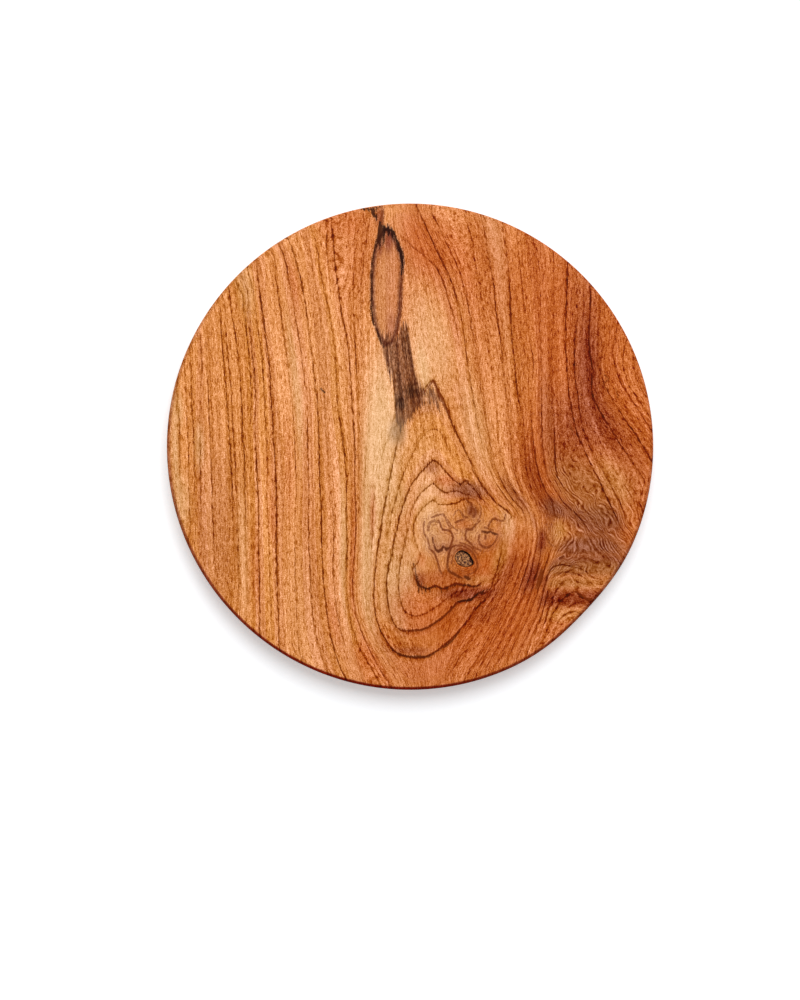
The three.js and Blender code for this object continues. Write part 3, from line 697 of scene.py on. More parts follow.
def figure(points):
    """The wood's figure at each vertex of the board, which the teak's nodes read."""
    heart = 0.6  # inside the first ring there is no other
    skin = 0.1  # deeper than this is rim, underside or wall, where the rings keep their natural width
    flattest = 0.03
    halfway_shaded = 0.42
    shade_contrast = 0.6
    least_oiled = 0.12
    flat = points[:, :2]
    depth = THICKNESS - points[:, 2]
    number, slope, darkness = in_parts(ring_figure, flat)
    natural = 1 / RING_WIDTH
    number = np.maximum(number, heart) - depth * np.sqrt(np.maximum(0, natural ** 2 - slope ** 2))
    slope = np.where(depth > skin, np.maximum(slope, natural), np.maximum(slope, flattest))
    across, _ = in_parts(fibre_sheet, flat)
    along = flat[:, 1]
    stain = on_plate(STAIN)
    ink, ink_tone = marks(flat)
    radius = np.hypot(*flat.T)
    # The rim darkens a little all round, as oil in its end grain, and far more towards the front, as
    # painted shade away from the lamp.
    towards_shade = flat @ SHADED_RIM_SIDE / np.maximum(radius, 1)
    return {
        **{tone: patches(tone, across, along) for tone in TONES},
        "number": number,
        "slope": slope,
        "darkness": darkness,
        "across": across,
        "along": along,
        "sideways": flat[:, 0],
        "depth": depth,
        "eye": depth_inside(flat, on_plate(EYE)) - EYE_TAPER * depth,
        "stain": depth_inside(flat, stain) - STAIN_TAPER * depth,
        "ahead": depth_inside(flat + np.array((0, STAIN_STREAK)), stain) - STAIN_TAPER * depth,
        "ink": ink - MARK_TAPER * depth,
        "ink_tone": ink_tone,
        "beside_knot": -depth_inside(flat, knot_loop(THICKNESS)[:, :2]),
        "from_rim": drawn_in(PLATE_RADIUS, np.arctan2(flat[:, 1], flat[:, 0])) - radius,
        "oiled_edge": np.clip(halfway_shaded + shade_contrast * towards_shade, least_oiled, 1),
    }


def add_figure(mesh, values):
    """Stores the figure on a mesh, three numbers to a name."""
    for name, parts in FIGURE_PARTS.items():
        columns = np.stack([values[part] for part in parts], -1)
        attribute = mesh.attributes.new(name, "FLOAT_VECTOR", "POINT")
        attribute.data.foreach_set("vector", columns.astype(np.float32).ravel())


def lay_out(mesh, corner_places):
    """Gives a mesh its map, from a place for each corner of each face."""
    layer = mesh.uv_layers.new(name="OFBake")
    layer.uv.foreach_set("vector", corner_places.astype(np.float32).ravel())


def polar_place(points, reach, centre, scale, flip=1):
    """The place on a round map, whose distance from the centre is measured over the surface."""
    angle = np.arctan2(points[:, 1], points[:, 0])
    return centre + scale * np.stack([reach * np.cos(angle) * flip, reach * np.sin(angle)], -1)


def top_points():
    """The vertices of the top's sheet, which is finer round the knots and finest at the dark marks."""
    margin = 3
    mark_reach = 1.0
    knots = on_plate([KNOTS_PX])[0]
    coarse = grid_over(-WHOLE_PLATE, WHOLE_PLATE, TOP_SPACING)
    fine = grid_over(knots - KNOT_AREA, knots + KNOT_AREA, KNOT_SPACING)
    finest = np.vstack([grid_over(line[:, :2].min(0) - margin, line[:, :2].max(0) + margin, MARK_SPACING)
                        for _, line in MARK_LINES])
    grids = (coarse, fine, np.unique(finest, axis=0))
    at_marks = [marks(grid)[0] > -mark_reach for grid in grids]
    at_knots = [np.hypot(*(grid - knots).T) < KNOT_AREA for grid in grids]
    chosen = (~at_marks[0] & ~at_knots[0], ~at_marks[1] & at_knots[1], at_marks[2])
    return np.vstack([grid[share] for grid, share in zip(grids, chosen)])


def plate_board():
    """The turned board: a fine sheet on top, the rim and foot below it, and the knot's hole."""
    rows = section()
    lip = 0.35  # the hole's edge is broken by this much
    hole_top = knot_loop(THICKNESS, grow=lip)
    hole_bottom = knot_loop(RECESS_DEPTH)
    top, top_faces = face_sheet(turned(*rows[0]), hole_top, top_points(), clearance=0.7)
    under_points = grid_over(-WHOLE_PLATE, WHOLE_PLATE, UNDERSIDE_SPACING)
    under, under_faces = face_sheet(turned(*rows[-1]), hole_bottom, under_points, clearance=1.5)
    rings = [turned(*row) for row in rows[1:-1]]
    wall = [knot_loop(height) for height in (THICKNESS - lip, *WALL_HEIGHTS)]
    points = np.vstack([top, under, *rings, *wall])

    first_under = len(top)
    first_ring = first_under + len(under)
    first_wall = first_ring + RIM_STEPS * len(rings)
    ring_starts = [0, *(first_ring + RIM_STEPS * i for i in range(len(rings))), first_under]
    wall_starts = [RIM_STEPS, *(first_wall + KNOT_STEPS * i for i in range(len(wall))),
                   first_under + RIM_STEPS]
    rim_faces = [band_faces(a, b, RIM_STEPS) for a, b in zip(ring_starts, ring_starts[1:])]
    wall_faces = [band_faces(a, b, KNOT_STEPS)[:, ::-1] for a, b in zip(wall_starts, wall_starts[1:])]

    # The rim belongs to the top's map as far as a row inside the lower edge's rounding.
    lengths = np.hypot(*np.diff(rows, axis=0).T)
    seam_height = THICKNESS - RIM_BAND + 0.4
    seam = int(np.argmin(rows[:, 1] > seam_height))
    reach_out = np.hypot(points[:, 0], points[:, 1])
    reach_in = reach_out.copy()
    for i, start in enumerate(ring_starts):
        loop = slice(start, start + RIM_STEPS)
        reach_out[loop] = rows[0, 0] + lengths[:i].sum()
        reach_in[loop] = rows[-1, 0] + lengths[i:].sum()
    top_places = polar_place(points, reach_out, TOP_MAP_CENTRE, MAP_SCALE)
    under_places = polar_place(points, reach_in, UNDER_MAP_CENTRE, UNDER_MAP_SCALE, flip=-1)

    faces = [*top_faces.tolist(), *np.vstack(rim_faces[:seam]).tolist(),
             *(first_under + under_faces[:, ::-1]).tolist(), *np.vstack(rim_faces[seam:]).tolist(),
             *np.vstack(wall_faces).tolist()]
    on_top = 3 * len(top_faces) + 4 * RIM_STEPS * seam
    on_wall = 4 * KNOT_STEPS * len(wall_faces)

    mesh = shaded_mesh("teak_plate", points, faces, sharp_degrees=35)
    corner = np.empty(len(mesh.loops), np.int32)
    mesh.loops.foreach_get("vertex_index", corner)
    places = under_places[corner]
    places[:on_top] = top_places[corner[:on_top]]
    places[-on_wall:] = wall_places(len(wall_faces))
    lay_out(mesh, places)
    add_figure(mesh, figure(points))
    return mesh


def shaded_mesh(name, points, faces, sharp_degrees):
    """A mesh from points in millimetres, smooth but for edges sharper than an angle."""
    mesh = bpy.data.meshes.new(name)
    mesh.from_pydata((points * MM).tolist(), [], faces)
    mesh.shade_smooth()
    mesh.set_sharp_from_angle(angle=math.radians(sharp_degrees))
    return mesh


def wall_places(rows):
    """The map of the knot hole's wall, unrolled, in the order of its faces' corners."""
    step = WALL_MAP_SIZE[0] / KNOT_STEPS
    drop = WALL_MAP_SIZE[1] / rows
    i = np.arange(KNOT_STEPS)
    bands = []
    for row in range(rows):
        left = WALL_MAP_CORNER[0] + i * step
        high = np.full(KNOT_STEPS, WALL_MAP_CORNER[1] + WALL_MAP_SIZE[1] - row * drop)
        square = [(left + step, high), (left + step, high - drop), (left, high - drop), (left, high)]
        bands.append(np.stack([np.stack(place, -1) for place in square], 1))
    return np.concatenate(bands).reshape(-1, 2)


def add_piece(name, mesh, material, cad_node):
    """Puts a piece in the scene in place of its solid."""
    piece = bpy.data.objects.new(name, mesh)
    bpy.context.collection.objects.link(piece)
    mesh.materials.append(material)
    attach(piece, "root")
    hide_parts(cad_node)
    return piece


def crags(x, y, z, size):
    """An even random height from about -1 to 1, the same on every run."""
    return noise.noise(Vector((x, y, z)) / size)


def knot_stub():
    """The dead branch's stub, broken off a little below the face, with a torn and crumbled end."""
    shaft_heights = (PIECES_BOTTOM, 6, 10, 14)
    neck_height = 15.7
    end_height = 16.5
    scales = (1.0, 0.985, 0.95, 0.9, 0.83, 0.75, 0.66, 0.57, 0.48, 0.39, 0.3, 0.21, 0.12, 0.05)
    crown = 0.45  # how far the end swells in the middle
    torn_heights = ((0.32, 1.5), (0.22, 0.7), (0.1, 0.35))  # each with the size of its crags
    edge_width = 0.12  # the share of the end over which its edge is rounded off
    edge_drop = 0.25
    loops = [knot_loop(height, CORE_SCALE, CORE_SHIFT) for height in shaft_heights]
    loops.append(knot_loop(neck_height, END_SCALE, END_SHIFT))
    end = knot_loop(end_height, END_SCALE, END_SHIFT)
    for scale in scales:
        loop = end.mean(0) + (end - end.mean(0)) * (scale, scale, 0)
        for point in loop:
            torn = sum(height * crags(*point, size) for height, size in torn_heights)
            inward = min(1, (1 - scale) / edge_width)
            point[2] += crown * (1 - scale ** 2) + torn * inward - edge_drop * (1 - inward)
        loops.append(loop)
    points = np.vstack([*loops, loops[0].mean(0), loops[-1].mean(0)])
    low_centre = len(points) - 2
    i = np.arange(KNOT_STEPS)
    j = (i + 1) % KNOT_STEPS
    last = KNOT_STEPS * (len(loops) - 1)
    faces = []
    for k in range(len(loops) - 1):
        faces += band_faces(KNOT_STEPS * (k + 1), KNOT_STEPS * k, KNOT_STEPS).tolist()
    faces += np.stack([j, i, np.full(KNOT_STEPS, low_centre)], -1).tolist()
    faces += np.stack([last + i, last + j, np.full(KNOT_STEPS, low_centre + 1)], -1).tolist()
    return shaded_mesh("knot_stub", points, faces, sharp_degrees=50)


def filler_ring():
    """The dark filler between the stub and its hole, sunken towards the stub."""
    outer_gap = -0.02
    inner_gap = -0.1
    brim_height = 16.6
    shares = (0.0, 0.06, 0.2, 0.4, 0.6, 0.8, 0.94, 1.0)  # of the way from the hole's wall to the stub
    climb = (0.3, 0.0, -0.5, -1.0, -1.4, -1.7, -1.9, -2.0)
    pit_depths = ((0.18, 1.6), (0.08, 0.6))  # each with the size of its pits
    outer = knot_loop(brim_height, grow=outer_gap)
    inner = knot_loop(brim_height, CORE_SCALE, CORE_SHIFT, grow=inner_gap)
    loops = [knot_loop(height, grow=outer_gap) for height in (PIECES_BOTTOM, 6, 11, 15.5)]
    for share, wetted in zip(shares, climb):
        loop = outer + (inner - outer) * share
        for point in loop:
            point[2] += wetted + sum(depth * crags(*point, size) for depth, size in pit_depths)
        loops.append(loop)
    loops += [knot_loop(height, CORE_SCALE, CORE_SHIFT, grow=inner_gap) for height in (11, PIECES_BOTTOM)]
    starts = [KNOT_STEPS * k for k in range(len(loops))]
    faces = []
    for low, high in zip(starts, starts[1:] + starts[:1]):
        faces += band_faces(high, low, KNOT_STEPS).tolist()
    return shaded_mesh("knot_filler_ring", np.vstack(loops), faces, sharp_degrees=50)


# Finishes

def srgb(code):
    """A hex colour as the linear numbers that a shader takes."""
    channels = [int(code[i:i + 2], 16) / 255 for i in (1, 3, 5)]
    return [c / 12.92 if c <= 0.04045 else ((c + 0.055) / 1.055) ** 2.4 for c in channels] + [1.0]


def plug(tree, socket, value):
    """Sets a socket to a value, or links it to another socket or to a node's first output in use."""
    if isinstance(value, bpy.types.Node):
        value = next(s for s in value.outputs if s.enabled)
    if isinstance(value, bpy.types.NodeSocket):
        tree.links.new(value, socket)
    else:
        socket.default_value = value


def node(tree, kind, inputs=None, **settings):
    """Adds a node. An input is given by its socket's name or number, as a value, a socket or a node."""
    made = tree.nodes.new("ShaderNode" + kind)
    for name, value in settings.items():
        setattr(made, name, value)
    for key, value in (inputs or {}).items():
        if isinstance(key, int):
            socket = made.inputs[key]
        else:
            socket = next(s for s in made.inputs if s.enabled and s.name == key)
        plug(tree, socket, value)
    return made


def start_material(name):
    """A new material, with its node tree and its main shader."""
    material = bpy.data.materials.new(name)
    material.use_nodes = True
    return material, material.node_tree, material.node_tree.nodes["Principled BSDF"]


def set_surface(tree, surface, values):
    """Sets the main shader's sockets by name."""
    for name, value in values.items():
        plug(tree, surface.inputs[name], value)


def drawn_out(tree, grain, width, length, detail=1.0, depth=(0, 0, 0)):
    """Soft random streaks along the grain, of a real width and length in millimetres, from 0 to 1."""
    per_size = (1 / width, 1 / length, 1 / length)
    place = node(tree, "VectorMath", {0: grain, 1: per_size}, operation="MULTIPLY")
    place = node(tree, "VectorMath", {0: depth, 1: (0, 0, 1 / width), 2: place}, operation="MULTIPLY_ADD")
    spots = node(tree, "TexNoise", {"Vector": place, "Scale": 1.0, "Detail": detail, "Roughness": 0.55})
    return node(tree, "MapRange", {"Value": spots, "From Min": 0.3, "From Max": 0.7})


def contour_lines(tree, distance, waver, amount, period):
    """A wave from -1 to 1 that repeats with distance in millimetres, and wavers by an amount."""
    wave = node(tree, "Math", {0: waver, 1: amount, 2: distance}, operation="MULTIPLY_ADD")
    wave = node(tree, "Math", {0: wave, 1: 2 * math.pi / period}, operation="MULTIPLY")
    return node(tree, "Math", {0: wave}, operation="SINE")


def in_millimetres(tree):
    """Each place on a piece in millimetres, as a vector."""
    place = node(tree, "TexCoord").outputs["Object"]
    return node(tree, "VectorMath", {0: place, 1: (1 / MM, 1 / MM, 1 / MM)}, operation="MULTIPLY")


# Teak's own colours, and those of its rings, its stain, its bruises and its bark
HONEY = srgb("#E7944A")
ROSY = srgb("#E59257")
STRAW = srgb("#F7BF88")
GOLD = srgb("#D58C46")
RUSSET = srgb("#C65E18")
LIVER = srgb("#8B300A")
MAUVE = srgb("#9D5A3A")
RING_BROWN = srgb("#682400")
LINE_BROWN = srgb("#7A2E04")
INK_BLACK = srgb("#280A04")
STAIN_BROWN = srgb("#561E0C")
WEATHERED = srgb("#84684C")
BRUISE = srgb("#5A2018")


def read_figure(tree):
    """The board's figure as sockets by name, and the place in the grain as a vector too."""
    wood = SimpleNamespace()
    for name, parts in FIGURE_PARTS.items():
        vector = node(tree, "Attribute", attribute_name=name, attribute_type="GEOMETRY").outputs["Vector"]
        for part, socket in zip(parts, node(tree, "SeparateXYZ", {0: vector}).outputs):
            setattr(wood, part, socket)
        if name == "grain":
            wood.grain = vector
    return wood


def lay_fibres(tree, wood):
    """Adds the patterns that follow the grain, and how far the stain and the bark reach along it."""
    # The burr's fibres curl: what follows the grain is drawn from places that are shifted to and fro.
    eddy_size = 8
    swing = (7, 10, 0)
    eddies = node(tree, "TexNoise", {"Vector": wood.grain, "Scale": 1 / eddy_size, "Detail": 0.6})
    eddies = node(tree, "VectorMath", {0: eddies.outputs["Color"], 1: (0.5, 0.5, 0.5)},
                  operation="SUBTRACT")
    eddies = node(tree, "VectorMath", {0: eddies, 1: swing}, operation="MULTIPLY")
    eddies = node(tree, "VectorMath", {0: eddies, 1: wood.curly}, operation="MULTIPLY")
    wood.grain = node(tree, "VectorMath", {0: wood.grain, 1: eddies}, operation="ADD")

    # Where the rings meet the face steeply the fibres lie in it, and the pores show as long scratches.
    # Elsewhere the fibres dive under it, and the pores are short. Real sanding grit and pores are 0.1 to
    # 0.3 mm wide, too fine to show, so they are drawn 0.5 mm wide, about a pixel of the picture.
    steep = node(tree, "MapRange", {"Value": wood.slope, "From Min": 0.05, "From Max": 0.2})
    short_pores = drawn_out(tree, wood.grain, 0.55, 2.2, depth=wood.depth)
    long_pores = drawn_out(tree, wood.grain, 0.55, 4, depth=wood.depth)
    wood.pores = node(tree, "Mix", {"Factor": steep, "A": short_pores, "B": long_pores})
    wood.grit = drawn_out(tree, wood.grain, 0.5, 0.6, depth=wood.depth)
    wood.dashes = drawn_out(tree, wood.grain, 0.6, 3.5, depth=wood.depth)
    wood.fibres = drawn_out(tree, wood.grain, 1.5, 80, depth=wood.depth)
    wood.clouds = drawn_out(tree, wood.grain, 3.5, 5, 2.0, wood.depth)
    wood.reach = drawn_out(tree, wood.grain, 0.8, 40)
    wood.streaks = node(tree, "Mix", {"Factor": wood.knotty, "A": wood.fibres, "B": wood.clouds})


def draw_rings(tree, wood):
    """Adds the nearest ring's dark line, the late wood beside it and a random number for its year."""
    # The distance to the ring is in millimetres. The ring wavers a little, and more round the knots.
    jags = node(tree, "Math", {0: drawn_out(tree, wood.grain, 1.4, 2.4), 1: 0.5}, operation="SUBTRACT")
    jags = node(tree, "Math", {0: jags, 1: wood.knotty}, operation="MULTIPLY")
    waver = node(tree, "Math", {0: drawn_out(tree, wood.grain, 4, 40), 1: 0.5}, operation="SUBTRACT")
    waver = node(tree, "Math", {0: jags, 1: 2.5, 2: waver}, operation="MULTIPLY_ADD")
    waver = node(tree, "Math", {0: waver, 1: wood.slope}, operation="MULTIPLY")
    moved = node(tree, "Math", {0: waver, 1: 0.35, 2: wood.number}, operation="MULTIPLY_ADD")
    nearest = node(tree, "Math", {0: moved}, operation="ROUND")
    distance = node(tree, "Math", {0: moved, 1: nearest}, operation="SUBTRACT")
    distance = node(tree, "Math", {0: distance, 1: wood.slope}, operation="DIVIDE")
    frayed = node(tree, "Math", {0: distance}, operation="ABSOLUTE")
    frayed = node(tree, "Math", {0: wood.dashes, 1: 0.6, 2: frayed}, operation="MULTIPLY_ADD")
    line = node(tree, "MapRange", {"Value": frayed, "From Min": 0.15, "From Max": 1.15,
                                   "To Min": 1.0, "To Max": 0.0}, interpolation_type="SMOOTHSTEP")
    strength = node(tree, "Math", {0: wood.darkness, 1: 1.35}, operation="POWER")
    bolder = node(tree, "MapRange", {"Value": wood.number, "From Min": 5.5, "From Max": 6.5,
                                     "To Min": 2.2, "To Max": 1.6})
    strength = node(tree, "Math", {0: strength, 1: bolder}, operation="MULTIPLY")
    wood.line = node(tree, "Math", {0: line, 1: strength}, operation="MULTIPLY", use_clamp=True)
    # The wood darkens towards a ring on the knots' side of it. The knots' own rings have that darker
    # wood on their outer side.
    outward = node(tree, "Math", {0: wood.number, 1: 6.5}, operation="LESS_THAN")
    outward = node(tree, "MapRange", {"Value": outward, "To Min": -1.0, "To Max": 1.0})
    beside = node(tree, "Math", {0: distance, 1: outward}, operation="MULTIPLY")
    on_side = node(tree, "Math", {0: beside, 1: 0.0}, operation="GREATER_THAN")
    beside = node(tree, "MapRange", {"Value": beside, "From Max": 2.6, "To Min": 1.0, "To Max": 0.0})
    late_wood = node(tree, "Math", {0: beside, 1: on_side}, operation="MULTIPLY")
    wood.late_wood = node(tree, "Math", {0: late_wood, 1: wood.darkness}, operation="MULTIPLY")
    wood.year = node(tree, "TexWhiteNoise", {"W": nearest}, noise_dimensions="1D").outputs["Value"]


def broad_colour(tree, wood):
    """The wood's colour without its fine patterns: each year's own, and the broad tones."""
    colour = node(tree, "Mix", {"Factor": wood.year, "A": HONEY, "B": ROSY}, data_type="RGBA")
    tones = ((wood.pale, STRAW), (wood.red, RUSSET), (wood.dark, LIVER), (wood.mauve, MAUVE),
             (wood.gold, GOLD))
    for share, tone in tones:
        colour = node(tree, "Mix", {"Factor": share, "A": colour, "B": tone}, data_type="RGBA")
    return colour


def fine_shade(tree, wood):
    """How much the fine patterns lighten or darken each place. A shade of 1 is about 40 steps of 255."""
    patterns = (
        (wood.grit, 2.1),
        (wood.pores, 1.0),
        (wood.streaks, 0.9),
        (drawn_out(tree, wood.grain, 4, 150, depth=wood.depth), 0.5),
        (drawn_out(tree, wood.grain, 9, 160, depth=wood.depth), 0.3),
        (drawn_out(tree, wood.grain, 30, 50), 0.2),
        (wood.year, 0.2),
    )
    lift = 0.12
    shade = -sum(amount for _, amount in patterns) / 2 + lift
    for pattern, amount in patterns:
        shade = node(tree, "Math", {0: pattern, 1: amount, 2: shade}, operation="MULTIPLY_ADD")
    dark_pores = node(tree, "MapRange", {"Value": wood.dashes, "From Max": 0.4, "To Min": -1.3,
                                         "To Max": 0.0})
    # The pale flecks along the fibres are partly the wood's own and partly painted glints.
    pale_flecks_and_glints = node(tree, "MapRange", {"Value": wood.dashes, "From Min": 0.6, "To Max": 0.5})
    for part in (dark_pores, pale_flecks_and_glints):
        shade = node(tree, "Math", {0: shade, 1: part}, operation="ADD")
    # Round knots and in the pale streaks the wood is dense and smooth.
    smooth = node(tree, "Math", {0: wood.curly, 1: wood.pale}, operation="MAXIMUM")
    smooth = node(tree, "Math", {0: smooth, 1: 0.7}, operation="MULTIPLY")
    smooth = node(tree, "Math", {0: smooth, 1: wood.knotty}, operation="MAXIMUM")
    smooth = node(tree, "MapRange", {"Value": smooth, "To Min": 1.0, "To Max": 0.5})
    shade = node(tree, "Math", {0: shade, 1: smooth}, operation="MULTIPLY")
    # The burr shows as fine curled lines.
    across, *_ = node(tree, "SeparateXYZ", {0: wood.grain}).outputs
    curls = contour_lines(tree, across, drawn_out(tree, wood.grain, 5, 16), 1.2, 1.3)
    curls = node(tree, "MapRange", {"Value": curls, "From Min": -1.0, "To Min": -1.5, "To Max": 0.9})
    curls = node(tree, "Math", {0: curls, 1: wood.clouds}, operation="MULTIPLY")
    shade = node(tree, "Math", {0: curls, 1: wood.curly, 2: shade}, operation="MULTIPLY_ADD")
    late_shade = node(tree, "MapRange", {"Value": wood.number, "From Min": 5.5, "From Max": 6.5,
                                         "To Min": -1.3, "To Max": -0.6})
    shade = node(tree, "Math", {0: wood.late_wood, 1: late_shade, 2: shade}, operation="MULTIPLY_ADD")
    return node(tree, "Math", {0: wood.line, 1: -1.7, 2: shade}, operation="MULTIPLY_ADD")


def shade_wood(tree, wood, colour):
    """Adds the fine shade, and browns the darkest rings."""
    # It is added to the colour as the eye sees it, so that dark pores and pale flecks stand out alike.
    # Red gets the least of it and blue the most, as in the photographed wood.
    one_shade = (0.148, 0.155, 0.182)
    darkest = (0.08, 0.03, 0.0)
    shade = node(tree, "VectorMath", {0: fine_shade(tree, wood), 1: one_shade}, operation="MULTIPLY")
    colour = node(tree, "Gamma", {"Color": colour, "Gamma": 1 / 2.2})
    colour = node(tree, "VectorMath", {0: colour, 1: shade}, operation="ADD")
    colour = node(tree, "VectorMath", {0: colour, 1: darkest}, operation="MAXIMUM")
    colour = node(tree, "Gamma", {"Color": colour, "Gamma": 2.2})
    deep = node(tree, "Math", {0: wood.line, 1: wood.line}, operation="MULTIPLY")
    deep = node(tree, "Math", {0: deep, 1: 0.5}, operation="MULTIPLY")
    return node(tree, "Mix", {"Factor": deep, "A": colour, "B": RING_BROWN}, data_type="RGBA")


def bruise_eye(tree, wood, colour):
    """Makes the eye's wood browner, and bruises it a little way in from its bark line."""
    browner = node(tree, "MapRange", {"Value": wood.eye, "From Max": 2.5, "To Max": 0.25})
    colour = node(tree, "Mix", {"Factor": browner, "A": colour, "B": MAUVE}, data_type="RGBA")
    bruised = node(tree, "Math", {0: wood.eye, 1: 0.7}, operation="SUBTRACT")
    bruised = node(tree, "Math", {0: bruised}, operation="ABSOLUTE")
    bruised = node(tree, "Math", {0: wood.pores, 1: 0.9, 2: bruised}, operation="MULTIPLY_ADD")
    bruised = node(tree, "MapRange", {"Value": bruised, "From Min": 0.5, "From Max": 2.5,
                                      "To Min": 0.9, "To Max": 0.0})
    return node(tree, "Mix", {"Factor": bruised, "A": colour, "B": BRUISE}, data_type="RGBA")


def darken_knots(tree, wood, colour):
    """Darkens the wood beside the knots' lines, with thin ripples, and a collar round the loose knot."""
    close = node(tree, "MapRange", {"Value": wood.ink, "From Min": -2.2, "From Max": 0.0, "To Max": 0.4})
    close = node(tree, "Math", {0: close, 1: wood.ink_tone}, operation="MULTIPLY")
    close = node(tree, "Math", {0: close, 1: wood.knotty}, operation="MULTIPLY")
    waver = drawn_out(tree, wood.grain, 2.2, 2.2)
    ripples = contour_lines(tree, wood.ink, waver, 0.9, 1.5)
    ripples = node(tree, "MapRange", {"Value": ripples, "From Min": 0.2, "To Max": 0.55})
    nearby = node(tree, "MapRange", {"Value": wood.ink, "From Min": -4.5, "From Max": -1.5})
    ripples = node(tree, "Math", {0: ripples, 1: nearby}, operation="MULTIPLY")
    ripples = node(tree, "Math", {0: ripples, 1: wood.knotty}, operation="MULTIPLY")
    collar = contour_lines(tree, wood.beside_knot, waver, 1.1, 1.3)
    collar = node(tree, "MapRange", {"Value": collar, "From Min": -0.1, "To Max": 0.75})
    nearby = node(tree, "MapRange", {"Value": wood.beside_knot, "From Min": 2.0, "From Max": 4.0,
                                     "To Min": 1.0, "To Max": 0.0})
    collar = node(tree, "Math", {0: collar, 1: nearby}, operation="MULTIPLY")
    for share in (close, ripples, collar):
        colour = node(tree, "Mix", {"Factor": share, "A": colour, "B": LIVER}, data_type="RGBA")
    return colour


def stain_wood(tree, wood, colour):
    """Lays on the mineral stain, which ends in points along the grain and is sooty where it is deepest."""
    stained = node(tree, "Mix", {"Factor": wood.reach, "A": wood.stain, "B": wood.ahead})
    stained = node(tree, "MapRange", {"Value": stained, "From Min": -0.6, "From Max": 1.2},
                   interpolation_type="SMOOTHSTEP")
    uneven = node(tree, "Math", {0: wood.fibres, 1: wood.pores}, operation="ADD")
    even = node(tree, "MapRange", {"Value": uneven, "From Min": 0.3, "From Max": 1.8,
                                   "To Min": 1.0, "To Max": 0.5})
    stained = node(tree, "Math", {0: stained, 1: even}, operation="MULTIPLY")
    sooty = node(tree, "Math", {0: uneven, 1: -0.45, 2: wood.soot}, operation="MULTIPLY_ADD")
    sooty = node(tree, "MapRange", {"Value": sooty, "From Min": -0.35, "From Max": 0.5, "To Max": 0.85})
    held = node(tree, "MapRange", {"Value": wood.ahead, "From Min": -0.5, "From Max": 0.5})
    sooty = node(tree, "Math", {0: sooty, 1: held}, operation="MULTIPLY")
    greyed = node(tree, "Math", {0: wood.grey, 1: 0.8}, operation="MULTIPLY")
    for share, tone in ((stained, STAIN_BROWN), (sooty, INK_BLACK), (greyed, WEATHERED)):
        colour = node(tree, "Mix", {"Factor": share, "A": colour, "B": tone}, data_type="RGBA")
    return colour


def line_with_bark(tree, wood, colour):
    """Draws the dark marks, black bark lines with crumbling edges and the knots' brown ones."""
    blackness = node(tree, "MapRange", {"Value": wood.ink_tone, "From Min": 0.78, "From Max": 0.92})
    crumbs = node(tree, "Math", {0: wood.grit, 1: wood.pores}, operation="ADD")
    size = node(tree, "MapRange", {"Value": wood.knotty, "To Min": -0.6, "To Max": -0.35})
    crumbs = node(tree, "Math", {0: crumbs, 1: size, 2: wood.ink}, operation="MULTIPLY_ADD")
    fringe = node(tree, "Math", {0: wood.reach, 1: 0.5}, operation="SUBTRACT")
    fringe = node(tree, "Math", {0: fringe, 1: blackness}, operation="MULTIPLY")
    crumbs = node(tree, "Math", {0: fringe, 1: 1.1, 2: crumbs}, operation="MULTIPLY_ADD")
    bark = node(tree, "MapRange", {"Value": crumbs, "From Min": -0.9, "From Max": -0.1},
                interpolation_type="SMOOTHSTEP")
    cover = node(tree, "Math", {0: wood.ink_tone, 1: 0.6}, operation="POWER")
    bark = node(tree, "Math", {0: bark, 1: cover}, operation="MULTIPLY")
    bark_tone = node(tree, "Mix", {"Factor": blackness, "A": LINE_BROWN, "B": INK_BLACK}, data_type="RGBA")
    return node(tree, "Mix", {"Factor": bark, "A": colour, "B": bark_tone}, data_type="RGBA")


def oil_and_shade_rim(tree, wood, colour):
    """Darkens the rim. Part of it is oil soaked into its end grain all round, and the rest is painted
    shade, strongest at the rounded corner and at the front, away from the lamp.
    """
    oiled_and_shaded = node(tree, "MapRange", {"Value": wood.from_rim, "From Min": 1.5, "From Max": 2.3,
                                     "To Min": 1.0, "To Max": 0.0})
    fades_down_wall = node(tree, "MapRange", {"Value": wood.depth, "From Min": 1.2, "From Max": 2.6,
                                    "To Min": 1.0, "To Max": 0.3})
    oiled_and_shaded = node(tree, "Math", {0: oiled_and_shaded, 1: fades_down_wall}, operation="MULTIPLY")
    oiled_and_shaded = node(tree, "Math", {0: oiled_and_shaded, 1: wood.oiled_edge}, operation="MULTIPLY")
    return node(tree, "Mix", {"Factor": oiled_and_shaded, "A": colour, "B": LIVER}, data_type="RGBA",
                blend_type="MULTIPLY")


def oiled_teak():
    """Plantation teak, planed, sanded fine and oiled: a warm, satin wood with pores like fine scratches."""
    material, tree, surface = start_material("oiled_teak")
    wood = read_figure(tree)
    lay_fibres(tree, wood)
    draw_rings(tree, wood)
    colour = broad_colour(tree, wood)
    for layer in (shade_wood, bruise_eye, darken_knots, stain_wood, line_with_bark, oil_and_shade_rim):
        colour = layer(tree, wood, colour)
    satin = node(tree, "MapRange", {"Value": wood.streaks, "To Min": 0.44, "To Max": 0.58})
    relief = node(tree, "Math", {0: wood.pores, 1: wood.line}, operation="SUBTRACT")
    bump = node(tree, "Bump", {"Height": relief, "Distance": 0.02 * MM, "Strength": 1.0})
    # Its gloss is far below an oiled wood's usual 0.5, because the white room greyed its dark lines.
    set_surface(tree, surface, {"Base Color": colour, "Roughness": satin, "Normal": bump, "IOR": 1.5,
                                "Specular IOR Level": 0.04})
    return material


